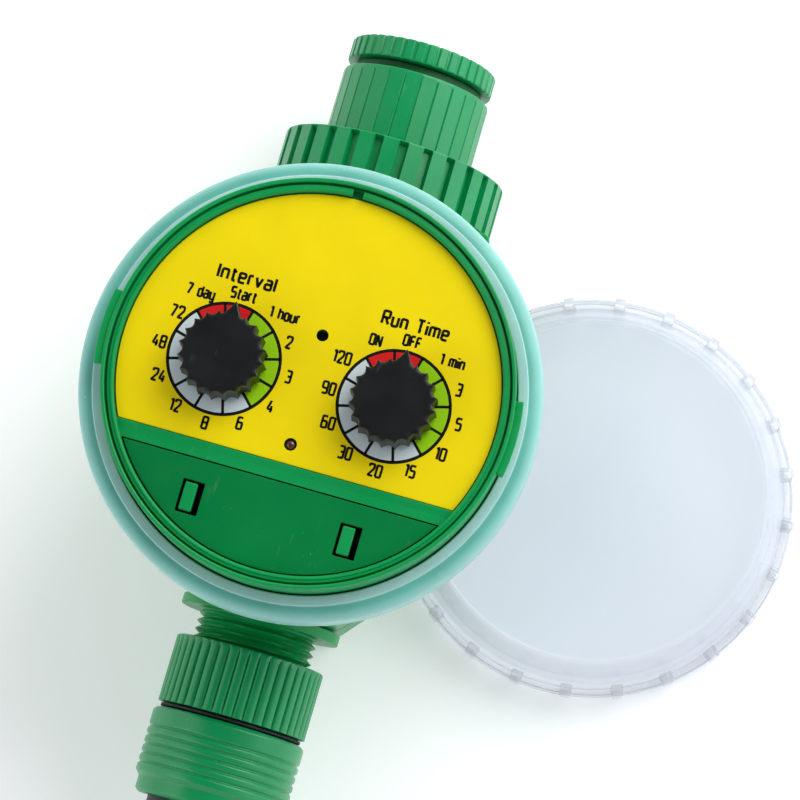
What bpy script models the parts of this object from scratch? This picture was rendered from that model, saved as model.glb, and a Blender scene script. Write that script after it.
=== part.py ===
"""Two-dial garden watering timer, lying on its back with its clear cover taken off beside it.

+Z points out of the face, +Y along the pipe towards the tap, and +X to the right of the face. The origin is on
the flat back, under the middle of the face. Dimensions below are in millimetres; the helpers build in metres.
"""

from math import acos, asin, cos, pi, radians, sin, sqrt

import bmesh
import bpy

MM = 0.001
GAP = 0.3                    # clearance between pieces that touch

# Levels above the back
PIPE_Z = 27.0                # pipe axis
SPLIT_Z = PIPE_Z             # joint plane of the two housing halves
DRUM_Z = 45.0                # underside of the round part of the housing
DRUM_TOP = 66.3
SHELL_TOP = 73.0             # flat of the front shell
PLATE_Z = 76.6               # underside of the face plate's disc
LABEL_Z = 80.0               # face of the yellow label
RING_TOP = 82.0              # top of the face plate's outer wall

# Face
RING_R = 42.5                # outer wall of the face plate
RING_WALL = 0.8
INNER_WALL_OUT = 40.6
INNER_WALL_IN = 39.7
LUG_R = 44.1
LUG_HALF_DEG = 10.5
SHELL_R = 48.2
SHELL_FLAT_R = 45.2          # where the shell's flat ends and its rounded rim begins
SHELL_DEPTH = 10.8
LABEL_BOTTOM_Y = -17.4
STRIP_Y = -20.9              # lower edge of the green strip, upper edge of the battery door
DOOR_TOP = 80.3
DIAL_X = 18.05
DIAL_Y = 0.1
KNOB_TOP = 88.0
KNOB_R = 8.8
POINTER_R = 10.95
HOLE_Y = 10.25
LAMP_Y = -13.15
PEEP_R = 1.25                # radius of the two small holes in the label
WINDOW_X = 16.65             # middle of each latch window
WINDOW_W = 4.6
WINDOW_TOP_Y = -25.7
WINDOW_BOTTOM_Y = -32.6

# Housing
DRUM_R = 44.5
WALL = 2.2
BLOCK_HALF_W = 26.0
FOOT_HALF_W = 16.0
FOOT_TOP = 11.0              # the block's sides are upright up to here and then flare out
FLARE_TOP = 23.0
BLOCK_LOW_Y = -43.7
BLOCK_HIGH_Y = 46.7
BLOCK_TOP = 46.0             # the block runs up into the round part, whose underside is lower
BLOCK_CORNER = 10.2          # the outlet end's two corners are cut across at 45 degrees by this much
BACK_SCREWS = ((-19.8, -34.4), (19.8, -34.4), (-21.6, 36.0), (21.6, 36.0))
SCREW_POST_R = 3.7
SCREW_HEAD_H = 2.0
SCREW_SEAT_Z = 21.2          # the housing screws' heads sit in recesses in the flare, up to here
WAY_UP_X = 23.2              # the opening from the block up into the round part
WAY_UP_Y = (-30.2, 31.8)
FRONT_SCREW_R = 38.0
FRONT_SCREW_DEG = (40.0, 140.0, 221.0, 319.0)

# Water way, along Y
PIPE_R = 14.0
BALL_R = 8.6
BALL_BORE_R = 5.5
CHAMBER_R = 9.2
OUTLET_BORE_R = 9.0
THREAD_R = 13.22             # G 3/4 outside thread, 26.44 mm across its crests
OUTLET_FLANGE_R = 17.6
OUTLET_END_Y = -60.0
NUT_TOP_Y = -53.0
NUT_END_Y = -68.0
NUT_R = 16.45
NUT_RIBS = 44
NIPPLE_END_Y = -84.0
SLEEVE_R = 16.9
SLEEVE_END_Y = -88.0
HOSE_END_Y = -103.0
TAIL_R = 12.4                # threaded tail of the quick connector
BARB_R = 6.3                 # the hose slides over this, 1/2 inch inside
BARB_BORE_R = 4.8
HOSE_R = 9.0                 # room for the outside of the hose
COLLAR_R = 24.9
COLLAR_RIBS = 28
COLLAR_LOW_Y = 47.4
COLLAR_TOP_Y = 60.4
NECK_R = 16.6
NECK_FACETS = 28
NECK_TOP_Y = 77.7
BUSH_R = 16.45
BUSH_RIBS = 40
BUSH_LOW_Y = 79.9
BUSH_TOP_Y = 84.6
TAP_BORE_R = 9.3             # G 1/2 inside thread

# Gear train
GEAR_MODULE = 0.6
OUTPUT_TEETH = 36
TRANSFER_WHEEL_TEETH = 30
PINION_TEETH = 10
GEAR_CLEARANCE = 0.1         # added to each centre distance
TRANSFER_DEG = 50.0          # direction of the transfer gear from the stem
MOTOR_DEG = 130.0            # direction of the motor from the transfer gear
GEAR_Z = 50.0
GEARBOX_LOW = (-13.0, -16.0)
GEARBOX_HIGH = (20.0, 30.0)

# Batteries (AAA)
CELL_R = 5.25
CELL_LENGTH = 44.5
CELL_Y = -27.05
CELL_Z = (58.6, 69.5)

# Clear cover, lying beside the timer
COVER_X = 62.2
COVER_Y = 3.5
COVER_SKIRT_IN = 42.9
COVER_SKIRT_R = 44.4
COVER_BUMP_R = 45.2
COVER_BUMPS = 24
COVER_SKIRT_H = 6.5
COVER_SHOULDER_R = 42.2
COVER_TOP_R = 37.6
COVER_H = 17.5
COVER_WALL = 1.4

GREEN = (0.005, 0.28, 0.08)
COLOURS = {
    "green_plastic": (GREEN, 0.4, 0.0, 1.0),
    "dark_green_plastic": ((0.0, 0.2, 0.05), 0.45, 0.0, 1.0),
    "teal_shell": ((0.25, 0.55, 0.5), 0.45, 0.0, 1.0),
    "yellow_label": ((0.9, 0.75, 0.0), 0.5, 0.0, 1.0),
    "black_plastic": ((0.015, 0.016, 0.017), 0.45, 0.0, 1.0),
    "black_rubber": ((0.01, 0.01, 0.01), 0.8, 0.0, 1.0),
    "white_plastic": ((0.8, 0.8, 0.78), 0.5, 0.0, 1.0),
    "clear_plastic": ((0.9, 0.95, 1.0), 0.05, 0.0, 0.3),
    "steel": ((0.6, 0.6, 0.62), 0.3, 1.0, 1.0),
    "brass": ((0.7, 0.5, 0.2), 0.3, 1.0, 1.0),
    "board_green": ((0.02, 0.15, 0.05), 0.5, 0.0, 1.0),
    "lamp_red": ((0.25, 0.02, 0.01), 0.2, 0.0, 1.0),
    "cell_skin": ((0.1, 0.12, 0.2), 0.35, 0.3, 1.0),
}


# --- scene, collections and materials ---------------------------------------------------------------------------

def clear_scene():
    for obj in list(bpy.data.objects):
        bpy.data.objects.remove(obj, do_unlink=True)


def new_collection(name):
    collection = bpy.data.collections.new(name)
    bpy.context.scene.collection.children.link(collection)
    return collection


def material(slot):
    if slot in bpy.data.materials:
        return bpy.data.materials[slot]
    colour, roughness, metallic, alpha = COLOURS[slot]
    made = bpy.data.materials.new(slot)
    made.use_nodes = True
    shader = made.node_tree.nodes["Principled BSDF"]
    shader.inputs["Base Color"].default_value = (*colour, 1.0)
    shader.inputs["Roughness"].default_value = roughness
    shader.inputs["Metallic"].default_value = metallic
    shader.inputs["Alpha"].default_value = alpha
    return made


clear_scene()
PARTS = new_collection("watering_timer")
CUTTERS = new_collection("cutters")


# --- modelling helpers ------------------------------------------------------------------------------------------

TURNS = {"Z": (0.0, 0.0, 0.0), "Y": (-pi / 2, 0.0, 0.0), "X": (0.0, pi / 2, 0.0)}
OUTLINE_TURNS = {"Z": (0.0, 0.0, 0.0), "Y": (pi / 2, 0.0, 0.0)}


def place(obj, at, slot, turn=(0.0, 0.0, 0.0)):
    """Puts an object into the timer with its material, at a point in millimetres."""
    PARTS.objects.link(obj)
    obj.location = [value * MM for value in at]
    obj.rotation_euler = turn
    obj.data.materials.clear()
    obj.data.materials.append(material(slot))
    obj.data.shade_smooth()
    obj.data.set_sharp_from_angle(angle=radians(35))
    return obj


def as_cutter(obj):
    """Turns a finished solid into a helper for a Boolean."""
    PARTS.objects.unlink(obj)
    CUTTERS.objects.link(obj)
    obj.hide_render = True
    obj.display_type = "WIRE"
    return obj


def boolean(obj, operation, others):
    for other in others:
        modifier = obj.modifiers.new(f"{operation.lower()} {other.name}", "BOOLEAN")
        modifier.operation = operation
        modifier.solver = "EXACT"
        modifier.object = as_cutter(other)
    return obj


def cut(obj, *cutters):
    return boolean(obj, "DIFFERENCE", cutters)


def join(obj, *others):
    return boolean(obj, "UNION", others)


def turned(name, profile, at, slot, axis="Z", steps=24):
    """A turned solid. profile holds (radius, height) points: inner top, outer top, outer bottom, inner bottom."""
    solid_to_axis = profile[0][0] == 0.0
    mesh = bpy.data.meshes.new(name)
    points = [(radius * MM, 0.0, height * MM) for radius, height in profile]
    edges = [(i, i + 1) for i in range(len(points) - 1)]
    if not solid_to_axis:
        edges.append((len(points) - 1, 0))
    mesh.from_pydata(points, edges, [])
    obj = place(bpy.data.objects.new(name, mesh), at, slot, TURNS[axis])
    screw = obj.modifiers.new("turn", "SCREW")
    screw.steps = steps
    screw.render_steps = steps
    screw.use_merge_vertices = True
    screw.merge_threshold = 1e-6
    screw.use_smooth_shade = True
    return obj


def ring(name, inner, outer, low, high, at, slot, axis="Z", steps=24):
    profile = [(inner, high), (outer, high), (outer, low), (inner, low)]
    return turned(name, profile, at, slot, axis, steps)


def rod(name, radius, low, high, at, slot, axis="Z", steps=16):
    profile = [(0.0, high), (radius, high), (radius, low), (0.0, low)]
    return turned(name, profile, at, slot, axis, steps)


def extruded(name, loops, low, high, at, slot, axis="Z"):
    """A flat outline, with any holes, pulled from low to high along an axis; at is the outline's own zero."""
    curve = bpy.data.curves.new(name, "CURVE")
    curve.dimensions = "2D"
    curve.fill_mode = "BOTH"
    curve.extrude = (high - low) / 2 * MM
    for loop in loops:
        spline = curve.splines.new("POLY")
        spline.points.add(len(loop) - 1)
        for point, (x, y) in zip(spline.points, loop):
            point.co = (x * MM, y * MM, 0.0, 1.0)
        spline.use_cyclic_u = True
    guide = bpy.data.objects.new(name + "_outline", curve)
    bpy.context.scene.collection.objects.link(guide)
    bpy.context.view_layer.update()
    graph = bpy.context.evaluated_depsgraph_get()
    mesh = bpy.data.meshes.new_from_object(guide.evaluated_get(graph))
    bpy.data.objects.remove(guide, do_unlink=True)
    shape = bmesh.new()
    shape.from_mesh(mesh)
    middle = (low + high) / 2 * MM
    bmesh.ops.translate(shape, verts=shape.verts, vec=(0.0, 0.0, middle if axis == "Z" else -middle))
    bmesh.ops.remove_doubles(shape, verts=shape.verts, dist=1e-6)
    bmesh.ops.recalc_face_normals(shape, faces=shape.faces)
    shape.to_mesh(mesh)
    shape.free()
    return place(bpy.data.objects.new(name, mesh), at, slot, OUTLINE_TURNS[axis])


def box(name, low, high, slot):
    """A box between two corners, with its origin at its middle."""
    shape = bmesh.new()
    bmesh.ops.create_cube(shape, size=1.0)
    size = [(b - a) * MM for a, b in zip(low, high)]
    bmesh.ops.scale(shape, verts=shape.verts, vec=size)
    mesh = bpy.data.meshes.new(name)
    shape.to_mesh(mesh)
    shape.free()
    middle = [(a + b) / 2 for a, b in zip(low, high)]
    return place(bpy.data.objects.new(name, mesh), middle, slot)


def gathered(name, pieces, at, slot):
    """Several separate solids in one object, for use in a Boolean."""
    bpy.context.view_layer.update()
    graph = bpy.context.evaluated_depsgraph_get()
    shape = bmesh.new()
    for piece in pieces:
        mesh = bpy.data.meshes.new_from_object(piece.evaluated_get(graph))
        mesh.transform(piece.matrix_world)
        shape.from_mesh(mesh)
        bpy.data.objects.remove(piece, do_unlink=True)
    bmesh.ops.translate(shape, verts=shape.verts, vec=[-value * MM for value in at])
    mesh = bpy.data.meshes.new(name)
    shape.to_mesh(mesh)
    shape.free()
    return place(bpy.data.objects.new(name, mesh), at, slot)


# --- outlines ---------------------------------------------------------------------------------------------------

def polar(radius, angle):
    return (radius * cos(angle), radius * sin(angle))


def arc(radius, first, last, steps, centre=(0.0, 0.0)):
    """Points along an arc between two angles in radians, both ends included."""
    angles = [first + (last - first) * i / steps for i in range(steps + 1)]
    return [(centre[0] + radius * cos(a), centre[1] + radius * sin(a)) for a in angles]


def circle(radius, steps=24, centre=(0.0, 0.0)):
    return arc(radius, 0.0, 2 * pi, steps, centre)[:-1]


def rounded_box(low, high, radius, steps=3):
    """A rectangle's outline with round corners."""
    corners = ((high[0], high[1], 0.0), (low[0], high[1], 0.5), (low[0], low[1], 1.0), (high[0], low[1], 1.5))
    loop = []
    for x, y, half_turns in corners:
        centre = (x - radius if x == high[0] else x + radius, y - radius if y == high[1] else y + radius)
        start = half_turns * pi
        loop += arc(radius, start, start + pi / 2, steps, centre)
    return loop


def segment_below(radius, y, steps=28):
    """The part of a disc below a horizontal chord."""
    half = acos(-y / radius)
    return arc(radius, -pi / 2 - half, -pi / 2 + half, steps)


def segment_above(radius, y, steps=44):
    """The part of a disc above a horizontal chord."""
    low = asin(y / radius)
    return arc(radius, low, pi - low, steps)


def ribbed(outer, groove, ribs, rib_share=0.61):
    """A round outline with flat-topped ribs."""
    loop = []
    pitch = 2 * pi / ribs
    for i in range(ribs):
        middle = i * pitch
        half = pitch * rib_share / 2
        gap_half = pitch / 2 - (pitch / 2 - half) * 0.6
        loop += [polar(groove, middle - gap_half), polar(outer, middle - half),
                 polar(outer, middle + half), polar(groove, middle + gap_half)]
    return loop


def fine_ribs(outer, groove, ribs):
    """A round outline with close sharp ribs, two points to each."""
    step = pi / ribs
    return [polar(outer if i % 2 == 0 else groove, i * step) for i in range(2 * ribs)]


def gear(teeth, tooth_at):
    """A spur gear's outline with one tooth centred on the angle tooth_at."""
    pitch_r = GEAR_MODULE * teeth / 2
    tip_r = pitch_r + 0.8 * GEAR_MODULE
    root_r = pitch_r - 1.15 * GEAR_MODULE
    tip_half = 0.13 * pi * GEAR_MODULE / tip_r
    root_half = 0.3 * pi * GEAR_MODULE / root_r
    loop = []
    for i in range(teeth):
        middle = tooth_at + 2 * pi * i / teeth
        loop += [polar(root_r, middle - root_half), polar(tip_r, middle - tip_half),
                 polar(tip_r, middle + tip_half), polar(root_r, middle + root_half)]
    return loop


def knob_outline():
    """Scalloped grip with a pointer towards +Y."""
    scallops = 20
    pointer_half = radians(15.0)
    first = pi / 2 + pointer_half
    turn = 2 * pi - 2 * pointer_half
    count = 60
    loop = []
    for i in range(count + 1):
        angle = first + turn * i / count
        loop.append(polar(KNOB_R - 0.35 + 0.35 * cos(scallops * (angle - pi / 2)), angle))
    loop.append((0.0, POINTER_R))
    return loop


# --- gear places ------------------------------------------------------------------------------------------------

def centre_distance(teeth_a, teeth_b):
    return GEAR_MODULE * (teeth_a + teeth_b) / 2 + GEAR_CLEARANCE


TRANSFER_AT = polar(centre_distance(OUTPUT_TEETH, PINION_TEETH), radians(TRANSFER_DEG))
MOTOR_STEP = polar(centre_distance(TRANSFER_WHEEL_TEETH, PINION_TEETH), radians(MOTOR_DEG))
MOTOR_AT = (TRANSFER_AT[0] + MOTOR_STEP[0], TRANSFER_AT[1] + MOTOR_STEP[1])
FRONT_SCREWS = [polar(FRONT_SCREW_R, radians(angle)) for angle in FRONT_SCREW_DEG]


# --- housing ----------------------------------------------------------------------------------------------------

def block_section(inset, low, high):
    """Half of the block's outline across the pipe, mirrored: upright foot, flare, upright side."""
    right = [(FOOT_HALF_W - inset, low)]
    if low < FOOT_TOP:
        right += [(FOOT_HALF_W - inset, FOOT_TOP), (BLOCK_HALF_W - inset, FLARE_TOP)]
    else:
        right = [(BLOCK_HALF_W - inset, low)]
    right.append((BLOCK_HALF_W - inset, high))
    left = [(-x, z) for x, z in reversed(right)]
    return [right + left]


def post(name, x, y, radius, low, high):
    return rod(name, radius, low, high, (x, y, 0.0), "green_plastic", steps=10)


def pipe_hole(name, radius, low, high):
    return rod(name, radius, low, high, (0.0, 0.0, PIPE_Z), "green_plastic", axis="Y", steps=32)


def posts(name, places, radius, low, high):
    """Equal upright rods in one object."""
    pieces = [post(f"{name}_{i}", x, y, radius, low, high) for i, (x, y) in enumerate(places)]
    return gathered(name, pieces, (0, 0, 0), "green_plastic")


def end_corners(name, inset):
    """Prisms beyond the two slanting corners of the block's outlet end, brought in by inset."""
    limit = BLOCK_HALF_W - BLOCK_LOW_Y - BLOCK_CORNER - inset * sqrt(2.0)
    far_x, far_y = BLOCK_HALF_W + 5, BLOCK_LOW_Y - 5
    right = [(far_x, far_x - limit), (limit + far_y, far_y), (far_x, far_y)]
    left = [(-x, y) for x, y in reversed(right)]
    prisms = [extruded(f"{name}_{i}", [loop], -5.0, BLOCK_TOP + 5, (0, 0, 0), "green_plastic")
              for i, loop in enumerate((left, right))]
    return gathered(name, prisms, (0, 0, 0), "green_plastic")


def back_cover():
    top = SPLIT_Z - GAP / 2
    cover = extruded("back_cover", block_section(0.0, 0.0, top), BLOCK_LOW_Y, BLOCK_HIGH_Y, (0, 0, 0),
                     "green_plastic", axis="Y")
    cut(cover, end_corners("back_corners", 0.0))
    cavity = extruded("back_cavity", block_section(WALL, WALL, top + 5), BLOCK_LOW_Y + WALL,
                      BLOCK_HIGH_Y - WALL, (0, 0, 0), "green_plastic", axis="Y")
    cut(cavity, end_corners("back_cavity_corners", WALL))
    cut(cavity, posts("back_posts", BACK_SCREWS, SCREW_POST_R, 1.0, top + 9))
    cut(cover, cavity, pipe_hole("back_pipe_hole", PIPE_R + GAP, BLOCK_LOW_Y - 5, BLOCK_HIGH_Y + 5))
    cut(cover, posts("back_recesses", BACK_SCREWS, 2.7, -1.0, SCREW_SEAT_Z))
    return cut(cover, posts("back_pilots", BACK_SCREWS, 1.5, SCREW_SEAT_Z - 1, top + 2))


def mid_housing():
    low = SPLIT_Z + GAP / 2
    floor_top = DRUM_Z + WALL
    housing = rod("mid_housing", DRUM_R, DRUM_Z, DRUM_TOP, (0, 0, 0), "green_plastic", steps=60)
    block = extruded("mid_block", block_section(0.0, low, BLOCK_TOP), BLOCK_LOW_Y, BLOCK_HIGH_Y, (0, 0, 0),
                     "green_plastic", axis="Y")
    cut(block, end_corners("mid_corners", 0.0))
    drum_cavity = rod("drum_cavity", DRUM_R - WALL, floor_top, DRUM_TOP + 5, (0, 0, 0), "green_plastic", steps=60)
    cavity = extruded("mid_cavity", block_section(WALL, low - 5, BLOCK_TOP - WALL), BLOCK_LOW_Y + WALL,
                      BLOCK_HIGH_Y - 3 * WALL, (0, 0, 0), "green_plastic", axis="Y")
    cut(cavity, end_corners("mid_cavity_corners", WALL))
    cut(cavity, posts("mid_posts", BACK_SCREWS, SCREW_POST_R, low - 9, BLOCK_TOP))
    way_up = box("way_up", (-WAY_UP_X, WAY_UP_Y[0], BLOCK_TOP - WALL - 1), (WAY_UP_X, WAY_UP_Y[1], floor_top + 1),
                 "green_plastic")
    join(housing, block)
    cut(housing, drum_cavity, cavity, way_up)
    cut(housing, pipe_hole("mid_pipe_hole", PIPE_R + GAP, BLOCK_LOW_Y - 5, BLOCK_HIGH_Y + 5))
    cut(housing, posts("mid_pilots", BACK_SCREWS, 1.3, low - 2, 38.0))
    return cut(housing, posts("drum_holes", FRONT_SCREWS, 1.5, DRUM_Z - 3, floor_top + 3))


def front_shell():
    corner = SHELL_R - SHELL_FLAT_R
    rounding = [(SHELL_FLAT_R + corner * sin(a), SHELL_TOP - corner + corner * cos(a))
                for a in [i * pi / 8 for i in range(5)]]
    low = SHELL_TOP - SHELL_DEPTH
    profile = [(RING_R + GAP, SHELL_TOP)] + rounding
    profile += [(SHELL_R, low + 1.0), (SHELL_R - 0.6, low), (DRUM_R + 0.4, low), (DRUM_R + 0.4, low + 2.0),
                (SHELL_R - WALL, low + 3.2), (SHELL_R - WALL, SHELL_TOP - 3.4),
                (SHELL_FLAT_R - 0.6, SHELL_TOP - 2.0), (RING_R + GAP, SHELL_TOP - 2.0)]
    return turned("front_shell", profile, (0, 0, 0), "teal_shell", steps=48)


def rim_gasket():
    low = DRUM_TOP + GAP
    return ring("rim_gasket", DRUM_R - WALL, DRUM_R - 0.4, low, low + 1.2, (0, 0, 0), "black_rubber", steps=24)


# --- face -------------------------------------------------------------------------------------------------------

def lug(name, centre_deg):
    first = radians(centre_deg - LUG_HALF_DEG)
    last = radians(centre_deg + LUG_HALF_DEG)
    outline = arc(LUG_R, first, last, 4) + arc(RING_R - 0.5, last, first, 4)
    return extruded(name, [outline], LABEL_Z - 0.6, LABEL_Z + 1.4, (0, 0, 0), "green_plastic")


def face_plate():
    skirt_low = DRUM_TOP + 2.2
    profile = [(INNER_WALL_IN, RING_TOP - 0.3), (INNER_WALL_OUT, RING_TOP - 0.3), (INNER_WALL_OUT, LABEL_Z - 1.2),
               (RING_R - RING_WALL, LABEL_Z - 1.2), (RING_R - RING_WALL, RING_TOP), (RING_R, RING_TOP),
               (RING_R, skirt_low), (RING_R - RING_WALL, skirt_low), (RING_R - RING_WALL, PLATE_Z), (0.0, PLATE_Z)]
    plate = turned("face_plate", [(0.0, LABEL_Z - 0.7), (INNER_WALL_IN, LABEL_Z - 0.7)] + profile, (0, 0, 0),
                   "green_plastic", steps=48)
    strip_loop = band(INNER_WALL_IN + 0.4, STRIP_Y, LABEL_BOTTOM_Y)
    strip = extruded("strip", [strip_loop], LABEL_Z - 1.5, LABEL_Z + 0.5, (0, 0, 0), "green_plastic")
    join(plate, lug("lug_right", 0.0), lug("lug_left", 180.0), strip)
    for i, (x, y) in enumerate(FRONT_SCREWS):
        join(plate, post(f"face_post_{i}", x, y, 2.5, DRUM_Z + WALL + GAP, PLATE_Z + 1))
        cut(plate, post(f"face_pilot_{i}", x, y, 1.4, DRUM_Z, 62.0))
    door_seat = extruded("door_seat", [segment_below(INNER_WALL_IN, STRIP_Y)], 78.0, LABEL_Z + 1.0, (0, 0, 0),
                         "green_plastic")
    cell_hole = box("cell_hole", (-22.9, WINDOW_BOTTOM_Y, PLATE_Z - 3), (22.9, STRIP_Y - 0.8, 79.0),
                    "green_plastic")
    notch = box("ring_notch", (-2.2, INNER_WALL_IN - 1, LABEL_Z), (0.2, INNER_WALL_OUT + 0.4, RING_TOP + 1),
                "green_plastic")
    cut(plate, door_seat, cell_hole, notch)
    for name, x, y, radius in face_holes():
        cut(plate, post(name, x, y, radius, PLATE_Z - 2, LABEL_Z + 2))
    return plate


def band(radius, low, high, steps=6):
    """The part of a disc between two horizontal chords."""
    right = arc(radius, asin(low / radius), asin(high / radius), steps)
    return right + [(-x, y) for x, y in reversed(right)]


def face_holes():
    return (("shaft_hole_left", -DIAL_X, DIAL_Y, 4.2), ("shaft_hole_right", DIAL_X, DIAL_Y, 4.2),
            ("peep_hole", 0.0, HOLE_Y, PEEP_R), ("lamp_hole", 0.0, LAMP_Y, PEEP_R + 0.2))


def dial_label():
    outline = segment_above(INNER_WALL_IN - GAP, LABEL_BOTTOM_Y + 0.2)
    holes = [circle(4.0, 16, (-DIAL_X, DIAL_Y)), circle(4.0, 16, (DIAL_X, DIAL_Y)),
             circle(PEEP_R, 10, (0.0, HOLE_Y)), circle(PEEP_R, 10, (0.0, LAMP_Y))]
    return extruded("dial_label", [outline] + holes, LABEL_Z - 0.4, LABEL_Z, (0, 0, 0), "yellow_label")


def status_lamp():
    profile = [(0.0, LABEL_Z - 0.3), (0.7, LABEL_Z - 0.5), (0.95, LABEL_Z - 1.0), (0.95, 75.9), (1.15, 75.9),
               (1.15, 75.4), (0.0, 75.4)]
    return turned("status_lamp", profile, (0.0, LAMP_Y, 0.0), "lamp_red", steps=10)


def knob(name, x):
    low = LABEL_Z + 0.4
    at = (x, DIAL_Y, 0.0)
    body = extruded(name, [knob_outline()], low, KNOB_TOP, at, "black_plastic")
    return cut(body, rod(name + "_socket", 3.3, low - 2, KNOB_TOP - 1.8, at, "black_plastic"))


def switch_shaft(name, x):
    return rod(name, 3.0, 66.2, KNOB_TOP - 2.1, (x, DIAL_Y, 0.0), "white_plastic")


def rotary_switch(name, x):
    profile = [(3.3, 72.9), (10.0, 72.9), (10.0, 65.6), (6.0, 65.6), (6.0, 64.4), (0.0, 64.4)]
    profile = [(0.0, 65.9), (3.3, 65.9)] + profile
    return turned(name, profile, (x, DIAL_Y, 0.0), "black_plastic", steps=16)


def circuit_board():
    outline = segment_above(37.0, STRIP_Y + 1.8, 40)
    holes = [circle(3.4, 20, (-DIAL_X, DIAL_Y)), circle(3.4, 20, (DIAL_X, DIAL_Y))]
    board = extruded("circuit_board", [outline] + holes, 73.3, 74.9, (0, 0, 0), "board_green")
    for i, (x, y) in enumerate(FRONT_SCREWS[:2]):
        cut(board, post(f"board_relief_{i}", x, y, 3.0, 70.0, 78.0))
    return board


# --- batteries and door -----------------------------------------------------------------------------------------

def battery_box():
    low = (-24.8, -33.1, 52.0)
    high = (24.8, -20.6, 76.2)
    tub = box("battery_box", low, high, "black_plastic")
    inside = box("battery_room", (-23.7, -32.35, 53.1), (23.7, -21.7, 80.0), "black_plastic")
    return cut(tub, inside)


def cell(name, z, button_side):
    half = CELL_LENGTH / 2
    profile = [(0.0, half), (1.9, half), (1.9, half - 0.9), (CELL_R, half - 0.9), (CELL_R, -half), (0.0, -half)]
    turn = pi / 2 * button_side
    made = turned(name, profile, (0.0, CELL_Y, z), "cell_skin", steps=16)
    made.rotation_euler = (0.0, turn, 0.0)
    return made


def contact(name, side):
    """One metal strip that joins the ends of both cells."""
    x = side * 23.05
    low = (min(x - 0.25, x + 0.25), CELL_Y - 3.0, CELL_Z[0] - 3.5)
    high = (max(x - 0.25, x + 0.25), CELL_Y + 3.0, CELL_Z[1] + 3.5)
    return box(name, low, high, "steel")


def door_windows(sign):
    return rounded_box((sign * WINDOW_X - WINDOW_W / 2, WINDOW_BOTTOM_Y),
                       (sign * WINDOW_X + WINDOW_W / 2, WINDOW_TOP_Y), 0.3, 2)


def battery_door():
    outline = segment_below(INNER_WALL_IN - GAP, STRIP_Y - GAP)
    return extruded("battery_door", [outline, door_windows(-1), door_windows(1)], 78.3, DOOR_TOP, (0, 0, 0),
                    "dark_green_plastic")


def latch_tab(name, sign):
    """A tab that stands in the door's window; pressing it frees the door."""
    x = sign * WINDOW_X
    loop = rounded_box((x - 1.3, WINDOW_BOTTOM_Y + 0.4), (x + 1.3, WINDOW_TOP_Y - 0.6), 0.3, 2)
    return extruded(name, [loop], 78.4, DOOR_TOP + 0.3, (0, 0, 0), "green_plastic")


# --- water way --------------------------------------------------------------------------------------------------

def valve_body():
    profile = [(CHAMBER_R, 51.5), (16.0, 51.5), (16.0, 49.2), (PIPE_R, 49.2),
               (PIPE_R, BLOCK_LOW_Y - GAP), (OUTLET_FLANGE_R, BLOCK_LOW_Y - GAP),
               (OUTLET_FLANGE_R, BLOCK_LOW_Y - 2.6), (THREAD_R, BLOCK_LOW_Y - 2.6), (THREAD_R, OUTLET_END_Y),
               (OUTLET_BORE_R, OUTLET_END_Y), (OUTLET_BORE_R, -16.0), (6.2, -12.0), (6.2, -9.6), (CHAMBER_R, -9.6)]
    body = turned("valve_body", profile, (0, 0, PIPE_Z), "green_plastic", axis="Y", steps=24)
    bonnet = rod("bonnet", 6.6, PIPE_Z + PIPE_R - 2.0, DRUM_Z + 1.6, (0, 0, 0), "green_plastic", steps=20)
    stem_hole = rod("stem_hole", 3.3, PIPE_Z + 4.0, DRUM_Z + 5, (0, 0, 0), "green_plastic")
    seal_seat = rod("seal_seat", 4.8, DRUM_Z - 1.4, DRUM_Z + 5, (0, 0, 0), "green_plastic", steps=20)
    join(body, bonnet)
    return cut(body, stem_hole, seal_seat)


def ball_seat(name, side):
    profile = [(6.2, 3.0), (8.9, 3.0), (8.9, 0.0), (7.0, 0.0), (6.2, 0.6)]
    seat = turned(name, profile, (0.0, side * 6.3, PIPE_Z), "white_plastic", axis="Y", steps=24)
    if side < 0:
        seat.rotation_euler = (pi / 2, 0.0, 0.0)
    return seat


def ball():
    """Drawn closed: its bore lies across the pipe, along X."""
    profile = [(BALL_R * sin(i * pi / 10), BALL_R * cos(i * pi / 10)) for i in range(1, 10)]
    made = turned("ball", [(0.0, BALL_R)] + profile + [(0.0, -BALL_R)], (0, 0, PIPE_Z), "brass", steps=24)
    bore = rod("ball_bore", BALL_BORE_R, -20, 20, (0, 0, PIPE_Z), "brass", axis="X", steps=20)
    slot = box("ball_slot", (-12, -1.6, PIPE_Z + 7.2), (12, 1.6, PIPE_Z + 12), "brass")
    return cut(made, bore, slot)


def valve_stem():
    foot = PIPE_Z + 7.5
    stem = rod("valve_stem", 3.0, PIPE_Z + BALL_R + GAP, GEAR_Z + 3.6, (0, 0, 0), "white_plastic")
    tongue = box("stem_tongue", (-2.5, -1.2, foot), (2.5, 1.2, PIPE_Z + BALL_R + 1.5), "white_plastic")
    return join(stem, tongue)


def stem_seal():
    low = DRUM_Z - 1.1
    return ring("stem_o_ring", 3.25, 4.5, low, low + 2.0, (0, 0, 0), "black_rubber", steps=16)


def seat_retainer():
    return ring("seat_retainer", 6.4, CHAMBER_R - 0.3, 9.7, 14.0, (0, 0, PIPE_Z), "white_plastic", "Y", 20)


def filter_screen():
    profile = [(0.0, 39.4), (6.8, 39.4), (7.4, 51.4), (8.8, 51.4), (8.8, 50.2), (8.2, 49.6), (7.6, 38.6),
               (0.0, 38.6)]
    return turned("filter_screen", profile, (0, 0, PIPE_Z), "white_plastic", "Y", 20)


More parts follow.
